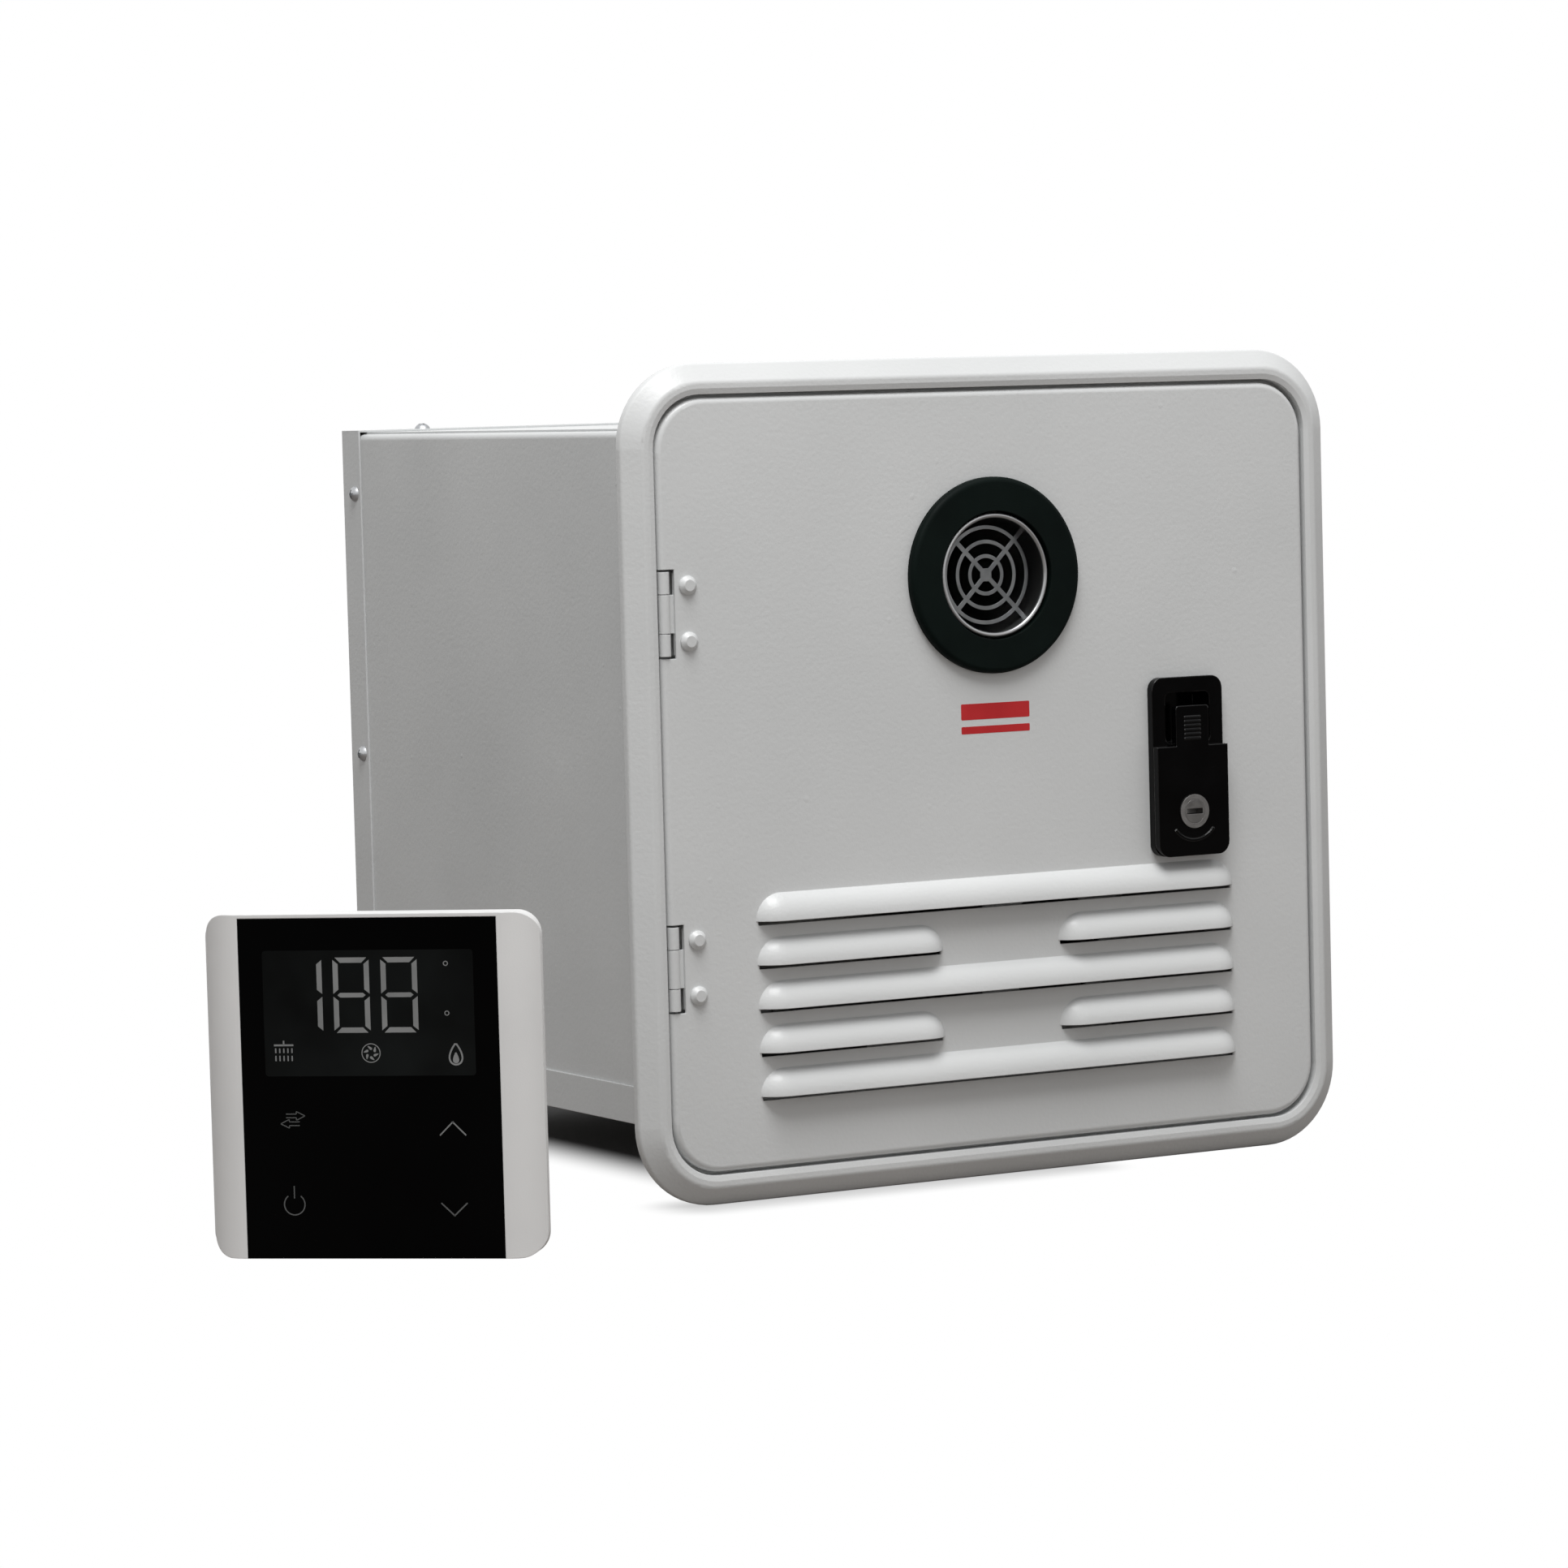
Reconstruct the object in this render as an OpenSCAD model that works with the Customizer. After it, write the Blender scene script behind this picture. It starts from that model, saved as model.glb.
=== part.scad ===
// Caravan water heater: a gas-fired instant heater in a sheet-metal casing, held in the wall by a
// frame with a hinged, louvred door, and the wall controller that belongs to it.
// Millimetres. +Z is up, the door faces -Y, the origin is the centre of the frame's back face.

/* [Wall frame] */
// Outer width of the wall frame
frame_w = 381; // [372:1:400]
// Outer height of the wall frame
frame_h = 381; // [376:1:400]
// Outer corner radius of the wall frame
frame_r = 38; // [32:1:44]
// How far the frame stands out from the wall
frame_depth = 9.8; // [9.4:0.1:12]
// Height of the frame's outer edge
frame_edge = 3.7; // [2.5:0.1:5]
// Width of the bevelled outer band
frame_roll_w = 8.6; // [7:0.1:9.4]
// Width from the outer edge to the door opening
frame_border = 14.1; // [13:0.1:15]
// Width of the shallow bevel beside the door opening
frame_chamfer = 2.6; // [1:0.1:2.8]
// Depth of the shallow bevel beside the door opening
frame_dip = 0.7; // [0.3:0.1:1.2]
// Thickness of the rebate plate behind the door
rebate_t = 2; // [1.5:0.1:2.4]
// Inward reach of the rebate plate past the neck
lip_w = 12; // [10:0.5:14]
// Depth of the neck inside the casing
neck_depth = 12; // [8:1:18]
// Wall of the neck
neck_t = 1.8; // [1.2:0.1:2.4]
// Diameter of the frame's fixing screw holes
fixing_d = 4.2; // [3.5:0.1:4.8]
// Spacing of the two fixing screws along each side
fixing_pitch = 240; // [210:5:260]

/* [Casing] */
// Width over the side panels
case_w = 325; // [318:1:330]
// Height from the base pan to the top of the side panels
case_h = 318.6; // [316:0.2:326]
// Depth from the wall plane to the back of the rear panel
case_d = 342; // [335:1:365]
// Distance of the casing's underside below the frame's centre
case_drop = 158; // [156:0.5:160]
// Sheet thickness of the casing
sheet_t = 1; // [0.8:0.1:1.4]
// Outer fold radius at the side panels' top edge
fold_r = 3; // [2:0.5:5]
// Width of the side panels' top flange
top_flange = 14; // [10:1:25]
// Height of the base pan's side lips
base_lip = 17.3; // [10:0.1:25]
// Width of the rear panel's side and top strips
rear_lip = 19; // [17:1:26]
// Height of the middle casing screw on each side
side_screw_z = 1; // [-5:0.5:8]
// Spacing of the casing screws up each side
side_screw_pitch = 130; // [100:1:132]
// Spacing of the casing screws along the top
top_screw_pitch = 125; // [90:1:140]
// Distance of the casing screws from the rear face
screw_inset = 13; // [8:0.5:14]
// Head diameter of the casing screws
screw_head_d = 8; // [6:0.5:9]
// Shank diameter of the casing screws
screw_d = 3.5; // [3:0.1:4.2]

/* [Door] */
// Gap around the door
door_gap = 1.4; // [1.2:0.05:2.2]
// How far the door's face lies behind the frame's front
door_inset = 0.8; // [0.4:0.1:1.6]
// Sheet thickness of the door
skin_t = 1.2; // [1:0.1:1.5]
// Outer fold radius along the door's edge
door_edge_r = 2.8; // [2.2:0.1:4.2]
// Width of the hem behind the door's edge
hem_w = 4; // [3:0.1:4.4]
// Room between the hem and the rebate plate
hem_gap = 1.5; // [1.3:0.1:1.8]
// Width of the foam seal around the opening
seal_w = 4.6; // [3:0.2:6]

/* [Hinges] */
// Height of the upper hinge
hinge_top_z = 78.5; // [60:0.5:90]
// Height of the lower hinge
hinge_low_z = -81.4; // [-95:0.1:-60]
// Height of the notch in the door's edge
notch_h = 40; // [36:1:46]
// Depth of the notch in the door's edge
notch_w = 7.6; // [7.2:0.1:9]
// Outer diameter of the hinge knuckles
knuckle_d = 5.6; // [5:0.1:5.8]
// How far the knuckles stand out of the door's face
knuckle_proud = 1; // [0.8:0.1:1.3]
// Height of the knuckle on the door's leaf
knuckle_h = 17.4; // [12:0.2:20]
// Diameter of the hinge pins
hinge_pin_d = 3; // [2:0.1:3.2]
// Thickness of the hinge leaves
leaf_t = 1.2; // [0.8:0.1:1.2]
// Distance of the hinge rivets from the door's edge
rivet_inset = 14.2; // [13:0.2:15]
// Spacing of the two rivets of a hinge
rivet_pitch = 25.2; // [22:0.2:28]
// Head diameter of the hinge rivets
rivet_head_d = 8.7; // [7:0.1:10]
// Height of the rivet heads
rivet_head_h = 2.6; // [1.5:0.1:3.5]

/* [Louvres] */
// Rows of louvres
louvre_rows = 5; // [3:1:5]
// Height of the first louvre's lip
louvre_z = -62.6; // [-66:0.2:-56]
// Spacing of the rows
louvre_pitch = 20; // [17:0.5:20]
// Length of the full rows
louvre_len = 260; // [220:2:270]
// Length of the split rows' louvres
louvre_short = 98.5; // [60:0.5:105]
// Height of a louvre hood
louvre_h = 12.5; // [9:0.5:13.5]
// How far a hood stands out
louvre_d = 7; // [4:0.5:8]
// How far the slot reaches below the lip
louvre_slit = 1.9; // [0:0.1:2.5]

/* [Flue] */
// Height of the flue's axis
flue_z = 89.4; // [86:0.2:92]
// Outer diameter of the exhaust tube
tube_d = 57.8; // [50:0.2:60]
// Wall of the exhaust tube
tube_t = 1; // [0.8:0.1:1.5]
// How far the tube ends ahead of the door's face
tube_proud = 3.2; // [1:0.1:4]
// Diameter of the bead at the tube's end
bead_d = 2.4; // [2:0.1:3]
// Running room between the tube and the rubber ring
tube_room = 0.8; // [0.7:0.1:1.5]
// Outer diameter of the rubber ring
ring_d = 91; // [84:0.5:100]
// How far the ring stands out
ring_t = 4.5; // [3:0.1:6]
// Radius of the ring's outer edge
ring_edge_r = 2.5; // [1:0.1:3]
// Depth of the grille inside the tube's end
grille_depth = 8.6; // [6:0.2:12]
// Thickness of the grille
grille_t = 1.1; // [0.8:0.1:2]
// Width of the grille's rings
grille_bar = 1.8; // [1.2:0.1:2.4]
// Spacing of the grille's rings
grille_pitch = 6.7; // [5:0.1:7.5]
// Outer radius of the innermost grille ring
grille_inner_r = 9.6; // [8:0.1:10.5]
// Width of the grille's spokes
spoke_w = 2.2; // [1.5:0.1:3.5]

/* [Latch] */
// Distance of the latch's middle from the door's hand edge
latch_inset = 71; // [64:0.5:80]
// Height of the latch's middle
latch_z = -4.75; // [-7:0.25:4]
// Width of the latch
latch_w = 39.5; // [38:0.5:44]
// Height of the latch
latch_h = 84.5; // [82:0.5:92]
// Corner radius of the latch
latch_r = 6; // [4:0.5:8]
// Thickness of the latch's bezel
bezel_t = 4; // [3.6:0.1:5]
// Width of the bezel around the finger cup
cup_border = 7.2; // [6:0.1:8]
// Depth of the finger cup
cup_depth = 14; // [10:0.5:14.5]
// Depth of the latch's body behind the door's face
latch_body_d = 13; // [12:0.5:16]
// Height of the lever plate
lever_h = 52; // [48:0.5:54]
// Thickness of the lever plate
lever_t = 3.7; // [3.2:0.1:5]
// Width of the lever's thumb tongue
tongue_w = 18.3; // [14:0.1:20]
// Height of the lever's thumb tongue
tongue_h = 19; // [12:0.5:20]
// Height of the lock's axis above the latch's lower end
lock_z = 21; // [19:0.5:22]
// Diameter of the lock barrel
barrel_d = 16; // [14:0.2:16.5]
// Diameter of the key plug
plug_d = 11.4; // [9:0.2:12]
// Reach of the lock's cam
cam_reach = 12; // [11:0.2:12.4]
// Diameter of the lever's pin
lever_pin_d = 2.4; // [1.8:0.1:2.6]
// Width of the sliding bolt
bolt_w = 10; // [7:0.5:12]
// Thickness of the sliding bolt
bolt_t = 3; // [2:0.1:4]

/* [Burner and heat exchanger] */
// Width of the burner stack
stack_w = 190; // [176:1:194]
// Depth of the burner stack
stack_d = 170; // [160:1:180]
// Sheet thickness of the burner stack
stack_t = 1.2; // [0.8:0.1:2]
// Height of the burner tray
tray_h = 62; // [58:1:66]
// Height of the combustion chamber
chamber_h = 80; // [74:1:84]
// Height of the heat exchanger
exchanger_h = 50; // [44:1:54]
// Height of the hood below the flue's axis
hood_drop = 44.4; // [40:0.2:46]
// Height of the hood above the flue's axis
hood_rise = 44; // [36:1:52]
// Number of burner bars
bar_count = 7; // [4:1:7]
// Width of a burner bar
bar_w = 9; // [6:0.5:12]
// Height of a burner bar
bar_h = 24; // [16:1:26]
// Spacing of the exchanger's fins
fin_pitch = 7; // [5:0.5:14]
// Thickness of the fins
fin_t = 0.6; // [0.4:0.1:1]
// Diameter of the water pipes
pipe_d = 15; // [12:0.5:16]
// Bend radius of the water pipes
pipe_bend = 14; // [13:0.5:16]
// Number of tubes through the exchanger
tube_count = 4; // [4:2:4]
// Spacing of the exchanger's tubes
tube_pitch = 40; // [34:1:42]

/* [Blower] */
// Sideways place of the blower
blower_x = 65; // [60:1:75]
// Front of the blower behind the wall plane
blower_y = 50; // [44:1:60]
// Depth of the blower's housing
blower_depth = 34; // [28:1:40]
// Smallest radius of the scroll
scroll_r = 44; // [42:0.5:46]
// Growth of the scroll in a quarter turn
scroll_step = 4; // [2:0.5:5]
// Height of the scroll's outlet
spout_h = 30; // [24:1:34]
// Reach of the outlet past the axis
spout_len = 70; // [56:1:76]
// Diameter of the impeller
impeller_d = 72; // [60:1:76]
// Blades of the impeller
blade_count = 18; // [10:1:24]
// Diameter of the blower's intake
intake_d = 54; // [40:1:56]
// Diameter of the motor
motor_d = 36; // [30:1:40]
// Length of the motor
motor_len = 30; // [24:1:36]
// Diameter of the motor's shaft
shaft_d = 5; // [4:0.5:8]

/* [Gas and water] */
// Width of the gas valve
valve_w = 52; // [50:1:54]
// Depth of the gas valve
valve_d = 52; // [40:1:56]
// Height of the gas valve
valve_h = 52; // [46:1:54]
// Diameter of the gas valve's coils
coil_d = 22; // [16:0.5:23]
// Length of the coils
coil_len = 18; // [12:1:20]
// Diameter of the gas pipe
gas_pipe_d = 10; // [8:0.5:12]
// Diameter of the gas manifold
manifold_d = 13; // [10:0.5:14]
// Sideways place of the water line
water_x = 118; // [116:0.5:122]
// Height of the cold inlet
cold_z = -60; // [-62:0.5:-56]
// Thread diameter of the water fittings
water_thread_d = 20.8; // [16:0.2:27]
// Length of the water fittings' thread
water_thread_len = 18; // [12:1:24]
// Thread diameter of the gas fitting
gas_thread_d = 15.8; // [12:0.2:22]
// Length of the gas fitting's thread
gas_thread_len = 16; // [10:1:22]
// Outer diameter of the flow sensor
flow_d = 26; // [22:0.5:30]
// Height of the flow sensor's chamber
flow_h = 32; // [26:0.5:34]
// Reach of the relief valve's handle
relief_len = 28; // [20:1:34]

/* [Control box] */
// Width of the control box
control_w = 55; // [46:1:58]
// Height of the control box
control_h = 170; // [120:2:176]
// Depth of the control box
control_d = 60; // [40:1:66]
// Lower end of the control box
control_z = -25; // [-30:1:-10]
// Wall of the control box
control_t = 1.8; // [1.2:0.1:2.4]
// Width of the power switch's rocker
rocker_w = 12.4; // [9:0.2:14]
// Height of the power switch's rocker
rocker_h = 17.6; // [14:0.2:22]
// Swing of the rocker
rocker_swing = 14; // [8:1:18]

/* [Wall controller] */
// Width of the wall controller
remote_w = 148; // [120:1:155]
// Height of the wall controller
remote_h = 149; // [120:1:155]
// Thickness of the wall controller
remote_t = 20; // [16:0.5:26]
// Corner radius of the wall controller
remote_r = 10.5; // [6:0.5:14]
// Width of the black glass
glass_w = 114; // [90:1:118]
// Thickness of the black glass
glass_t = 2.4; // [1.6:0.1:3]
// White line above the glass
glass_top = 1.6; // [0.8:0.1:3]
// Thickness of the controller's back plate
back_plate_t = 6; // [4:0.5:8]
// Spacing of the back plate's screw holes
back_hole_pitch = 60; // [40:1:80]
// Sideways place of the controller
remote_x = -343.7; // [-380:0.1:-320]
// Place of the controller's face, ahead of the wall plane
remote_y = -48.1; // [-90:0.1:-20]
// Turn of the controller towards the onlooker
remote_turn = -39.4; // [-60:0.1:0]

/* [Clearances] */
// Room between pieces that slide in each other by hand
slip = 0.2; // [0.1:0.05:0.3]
// Room between pieces that move past each other
move_gap = 0.3; // [0.25:0.05:0.4]
// Running room of a pin or shaft, on the radius
run_gap = 0.05; // [0.02:0.01:0.08]

/* [Hidden] */
$fn = 64;

// Door opening and door
open_w = frame_w - 2 * frame_border;
open_h = frame_h - 2 * frame_border;
open_r = frame_r - frame_border;
door_w = open_w - 2 * door_gap;
door_h = open_h - 2 * door_gap;
// The door's corners are rounder than the opening's, so that they clear it as the door swings
corner_room = 1.8;
door_r = open_r - door_gap + corner_room;
door_y = door_inset - frame_depth;
skin_y = door_y + skin_t;
hem_y = -rebate_t - hem_gap;

// Casing
case_z0 = -case_drop;
case_z1 = case_z0 + case_h;
floor_z = case_z0 + sheet_t;
panel_end_y = case_d - sheet_t;
seat_depth = 0.5;
seat_room = 0.5;
seat_w = case_w + 2 * sheet_t + 2 * seat_room;
seat_z0 = case_z0 - seat_room;
seat_z1 = case_z1 + sheet_t + seat_room;
neck_w = case_w - 2 * sheet_t - 2 * slip;
neck_z0 = floor_z + slip;
neck_z1 = case_z1 - sheet_t - slip;
// The lip ends inside the neck, and inside the door's hem and hinge leaves with room for the seal
seal_inset = 3.4;
seal_room = 1;
leaf_reach = rivet_inset + 3.4;
seal_reach = seal_inset + seal_w + seal_room;
lip_open_w = min(neck_w - 2 * neck_t - 2 * lip_w, door_w - 2 * leaf_reach - 2 * seal_reach);
lip_open_z0 = max(neck_z0 + neck_t + lip_w, hem_w + seal_reach - door_h / 2);
lip_open_z1 = min(neck_z1 - neck_t - lip_w, door_h / 2 - hem_w - seal_reach);
lip_open_h = lip_open_z1 - lip_open_z0;
lip_open_mid = (lip_open_z0 + lip_open_z1) / 2;
lip_open_r = 8;
fixing_x = seat_w / 2 + fixing_d / 2 + 0.4;
fixing_z = seat_z1 + fixing_d / 2 + 0.4;

// Hinges: the pins' axis lies a knuckle's radius inside the door's edge
hinge_x = -door_w / 2 + knuckle_d / 2;
hinge_y = door_y + knuckle_d / 2 - knuckle_proud;
hinge_heights = [hinge_top_z, hinge_low_z];
rivet_x = -door_w / 2 + rivet_inset;
rivet_d = 4;
leaf_end_x = leaf_reach - door_w / 2;

// Louvres: each row's lip height and ends, on circles that run out flat at the lip
hood_r = (louvre_h * louvre_h + louvre_d * louvre_d) / (2 * louvre_d);
hood_sink = hood_r - louvre_d;
slot_r = sqrt(pow(hood_r - skin_t, 2) - pow(hood_sink - skin_t / 2, 2));
full_row = [[-louvre_len / 2, louvre_len / 2]];
split_row = [[-louvre_len / 2, louvre_short - louvre_len / 2],
             [louvre_len / 2 - louvre_short, louvre_len / 2]];
louvres = [for (row = [0:louvre_rows - 1], span = row % 2 == 0 ? full_row : split_row)
           [louvre_z - row * louvre_pitch, span[0], span[1]]];

// Flue
tube_r = tube_d / 2;
tube_y = door_y - tube_proud;
ring_in_r = tube_r + tube_room;
flue_hole_r = ring_in_r + 4;
ring_lip_r = flue_hole_r + 4;
ring_lip_t = 2;
grille_y = tube_y + grille_depth;
grille_hub = 6;

// Latch, lever and lock
guide_gap = 6;
guide_w = 12;
guide_t = 1.5;
bolt_gap = 0.8;
bolt_nose = 3;
bolt_tip_x = lip_open_w / 2 - bolt_gap;
latch_body_w = latch_w - 6.5;
// The latch sits at its inset, or nearer the middle where its bolt would pass the lip
latch_x = min(door_w / 2 - latch_inset, bolt_tip_x - 5 - bolt_nose - guide_w - guide_gap - latch_body_w / 2);
latch_z0 = latch_z - latch_h / 2;
latch_z1 = latch_z + latch_h / 2;
latch_body_h = latch_h - 8.5;
latch_back_y = door_y + latch_body_d;
bezel_y = door_y - bezel_t;
lever_y = bezel_y - move_gap;
lever_z1 = latch_z0 + lever_h;
pivot_y = bezel_y + 1.7;
pivot_z = latch_z0 + 4;
lug_r = 2.2;
lug_x = 8;
lug_w = 6;
lock_axis_z = latch_z0 + lock_z;
window_w = 2 * cam_reach + 2;
window_z0 = latch_z0 + 8;
window_z1 = lever_z1 - 5;
cam_w = 8;
cam_t = 2;
barrel_end_y = door_y + 6;
barrel_proud = 0.8;
bolt_y = latch_back_y + move_gap;
bolt_z = latch_z + 17.75;
guide_x = latch_x + latch_body_w / 2 + guide_gap;

// Burner stack, from the hood down to the base pan
stack_y = blower_y + blower_depth + motor_len + 4;
stack_y1 = stack_y + stack_d;
hood_z0 = flue_z - hood_drop;
hood_z1 = flue_z + hood_rise;
exchanger_z = hood_z0 - exchanger_h;
chamber_z = exchanger_z - chamber_h;
tray_z = chamber_z - tray_h;
bar_pitch = (stack_d - 26) / bar_count;
bar_ys = [for (i = [0:bar_count - 1]) stack_y + 13 + bar_pitch * (i + 0.5)];
bar_z = chamber_z - bar_h - 3;
bar_len = stack_w - 20;
jet_z = bar_z + bar_h / 4;
jet_d = 5;
manifold_x = -stack_w / 2 - manifold_d / 2 - 3;
tube_z = exchanger_z + exchanger_h / 2;
tube_ys = [for (i = [0:tube_count - 1]) stack_y + (stack_d - (tube_count - 1) * tube_pitch) / 2 + i * tube_pitch];
tube_stub = 5;
tube_end_x = stack_w / 2 + tube_stub;
pipe_r = pipe_d / 2;
line_x = max(water_x, tube_end_x + pipe_bend);

// Blower, with its lowest point on its feet
blower_foot = 9;
scroll_drop = scroll_r + 3 * scroll_step;
blower_z = floor_z + blower_foot + scroll_drop;
spout_x = blower_x - spout_len;
spout_z = floor_z + blower_foot;
blower_t = 1.2;

// Gas and water
valve_x0 = manifold_x - valve_w / 2 - 5;
valve_y1 = stack_y - 10;
valve_z0 = floor_z + 7;
gas_x = valve_x0 + 12;
gas_z = valve_z0 + 16;
coil_z = valve_z0 + valve_h / 2;
tee_back = 25;
tee_y = blower_y + tee_back;
tee_r = 11;
tee_len = 34;
tee_rise = 16;
flow_z0 = cold_z + tee_rise;
flow_end = 6;
flow_wall = 3;
riser_z = flow_z0 + flow_h + 2 * flow_wall + 2 * flow_end;
relief_pin_d = 2.8;
relief_stem = 20;
relief_nut = 12;
relief_tang = 4;
relief_y = tee_y - tee_len / 2 - relief_stem;
fitting_hex = 26;
fitting_front = 14;
lock_nut_h = 5;

// Control box and its switch
control_x0 = case_w / 2 - sheet_t - control_w;
control_y = blower_y;
cover_t = 2;
switch_x = control_x0 + control_w / 2;
switch_z = control_z + control_h - 34;
switch_rim = 3;
rocker_y = control_y - cover_t - 1;
rocker_gap = 0.4;

// Wall controller, standing on the level of the frame's lower edge
remote_z = -frame_h / 2;
cheek_w = (remote_w - glass_w) / 2;
cheek_r = cheek_w * 1.1;
shell_d = remote_t - back_plate_t;
shell_wall = 2.2;

// Colours
paint = [0.80, 0.80, 0.79];
zinc = [0.72, 0.73, 0.75];
black = [0.07, 0.08, 0.08];
steel = [0.66, 0.66, 0.68];
copper = [0.72, 0.43, 0.28];
brass = [0.78, 0.62, 0.30];

// Helpers

// Rounded rectangle around the origin
module round_rect(w, h, r) {
    square([w - 2 * r, h], center = true);
    square([w, h - 2 * r], center = true);
    for (sx = [-1, 1], sy = [-1, 1])
        translate([sx * (w / 2 - r), sy * (h / 2 - r)]) circle(r);
}

// Stands a flat shape up, its own Y as height, and gives it depth between two places along Y
module slab(y_front, y_back) {
    translate([0, y_back, 0]) rotate([90, 0, 0]) linear_extrude(y_back - y_front) children();
}

// Stands a body up, so that its own Z points out of the heater's front
module upright(y = 0) {
    translate([0, y, 0]) rotate([90, 0, 0]) children();
}

// Sweeps a section round a rounded rectangle: section X is outwards, section Y is towards the front
module rim(w, h, r) {
    upright() for (k = [0:3]) {
        across = k % 2 == 0 ? w : h;
        along = k % 2 == 0 ? h : w;
        rotate(90 * k) {
            translate([across / 2, along / 2 - r, 0])
                rotate([90, 0, 0]) linear_extrude(along - 2 * r) children();
            translate([across / 2 - r, along / 2 - r, 0])
                rotate_extrude(angle = 90) translate([r, 0]) children();
        }
    }
}

// Round bars along the three axes
module bar_x(d, x0, x1, y, z) {
    translate([x0, y, z]) rotate([0, 90, 0]) cylinder(d = d, h = x1 - x0);
}
module bar_y(d, y0, y1, x, z) {
    translate([x, y0, z]) rotate([-90, 0, 0]) cylinder(d = d, h = y1 - y0);
}
module bar_z(d, z0, z1, x, y) {
    translate([x, y, z0]) cylinder(d = d, h = z1 - z0);
}

// Box between two corners
module block(lo, hi) {
    translate(lo) cube(hi - lo);
}

// Quarter of a ring, in the corner of the first quadrant
module quarter_ring(r, t) {
    intersection() {
        difference() {
            circle(r);
            circle(r - t);
        }
        square(r);
    }
}

// Hollow rectangle
module duct_ring(w, d, t) {
    difference() {
        square([w, d], center = true);
        square([w - 2 * t, d - 2 * t], center = true);
    }
}

// Dome of a given width and height, flat side down
module dome(d, h) {
    cap_r = (d * d / 4 + h * h) / (2 * h);
    intersection() {
        translate([0, 0, h - cap_r]) sphere(cap_r);
        cylinder(d = d, h = h);
    }
}

// Cross-head screw, its seat at the origin and its head along +Z
module pan_screw(head_d, shank_d, shank_len) {
    head_h = head_d * 0.34;
    slot = head_d * 0.13;
    difference() {
        dome(head_d, head_h);
        for (a = [0, 90])
            rotate(a) translate([-head_d * 0.27, -slot / 2, head_h * 0.45]) cube([head_d * 0.54, slot, head_h]);
    }
    translate([0, 0, -shank_len]) cylinder(d = shank_d, h = shank_len);
}

// Wall frame and casing

// Section of the frame's visible band, from the door opening to the outer edge: outer wall, bevel, flat front
// and a shallow bevel towards the door, with both outer creases rounded
edge_crease = 2;
front_crease = 3;

module frame_section() {
    slope = atan2(frame_depth - frame_edge, frame_roll_w);
    edge_cut = edge_crease * tan(45 - slope / 2);
    front_cut = front_crease * tan(slope / 2);
    edge_mid = [-edge_crease, frame_edge - edge_cut];
    edge_end = [-edge_cut * cos(slope), frame_edge + edge_cut * sin(slope)];
    front_mid = [-frame_roll_w - front_cut, frame_depth - front_crease];
    front_end = [front_cut * cos(slope) - frame_roll_w, frame_depth - front_cut * sin(slope)];
    polygon([
        [-frame_border, 0],
        [0, 0],
        [0, edge_mid[1]],
        edge_mid,
        edge_end,
        front_end,
        front_mid,
        [front_mid[0], frame_depth],
        [frame_chamfer - frame_border, frame_depth],
        [-frame_border, frame_depth - frame_dip]
    ]);
    intersection() {
        translate(edge_mid) circle(edge_crease);
        polygon([edge_mid, [0, edge_mid[1]], [0, frame_edge], edge_end]);
    }
    intersection() {
        translate(front_mid) circle(front_crease);
        polygon([front_mid, front_end, [-frame_roll_w, frame_depth], [front_mid[0], frame_depth]]);
    }
}

module lip_opening() {
    translate([0, lip_open_mid]) round_rect(lip_open_w, lip_open_h, lip_open_r);
}

module wall_frame() color(paint) {
    overlap = 1;
    difference() {
        union() {
            rim(frame_w, frame_h, frame_r) frame_section();
            slab(-rebate_t, 0) difference() {
                round_rect(open_w + 2 * overlap, open_h + 2 * overlap, open_r + overlap);
                lip_opening();
            }
        }
        // Seat for the front edges of the casing's panels
        slab(-seat_depth, overlap)
            translate([-seat_w / 2, seat_z0]) square([seat_w, seat_z1 - seat_z0]);
        for (sx = [-1, 1], sz = [-1, 1]) {
            bar_y(fixing_d, -rebate_t - overlap, overlap, sx * fixing_x, sz * fixing_pitch / 2);
            bar_y(fixing_d, -rebate_t - overlap, overlap, sx * fixing_pitch / 2, sz * fixing_z);
        }
    }
    // Neck inside the casing
    slab(-rebate_t, neck_depth) translate([0, (neck_z0 + neck_z1) / 2]) difference() {
        round_rect(neck_w, neck_z1 - neck_z0, fold_r);
        round_rect(neck_w - 2 * neck_t, neck_z1 - neck_z0 - 2 * neck_t, fold_r);
    }
}

module opening_seal() color(black) {
    inset = seal_inset;
    slab(skin_y + run_gap, -rebate_t) translate([0, lip_open_mid]) difference() {
        round_rect(lip_open_w + 2 * (inset + seal_w), lip_open_h + 2 * (inset + seal_w), lip_open_r + inset + seal_w);
        round_rect(lip_open_w + 2 * inset, lip_open_h + 2 * inset, lip_open_r + inset);
    }
}

// Panel with a folded top flange, its outer face at X = 0
module side_panel_section() {
    square([sheet_t, case_z1 - fold_r - floor_z]);
    translate([fold_r, case_z1 - fold_r - floor_z]) mirror([1, 0]) quarter_ring(fold_r, sheet_t);
    translate([fold_r, case_z1 - sheet_t - floor_z]) square([top_flange - fold_r, sheet_t]);
}

// Places of the casing screws: the screws' own axis points out of the casing
module at_side_screws(side) {
    for (k = [-1:1])
        translate([side * (case_w / 2 + sheet_t), case_d - screw_inset, side_screw_z + k * side_screw_pitch])
            rotate([0, side * 90, 0]) children();
}
module at_top_screws() {
    for (k = [-1:1])
        translate([k * top_screw_pitch, case_d - screw_inset, case_z1 + 2 * sheet_t]) children();
}
module screw_hole() {
    translate([0, 0, -8]) cylinder(d = screw_d + 2 * slip, h = 16);
}

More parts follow.
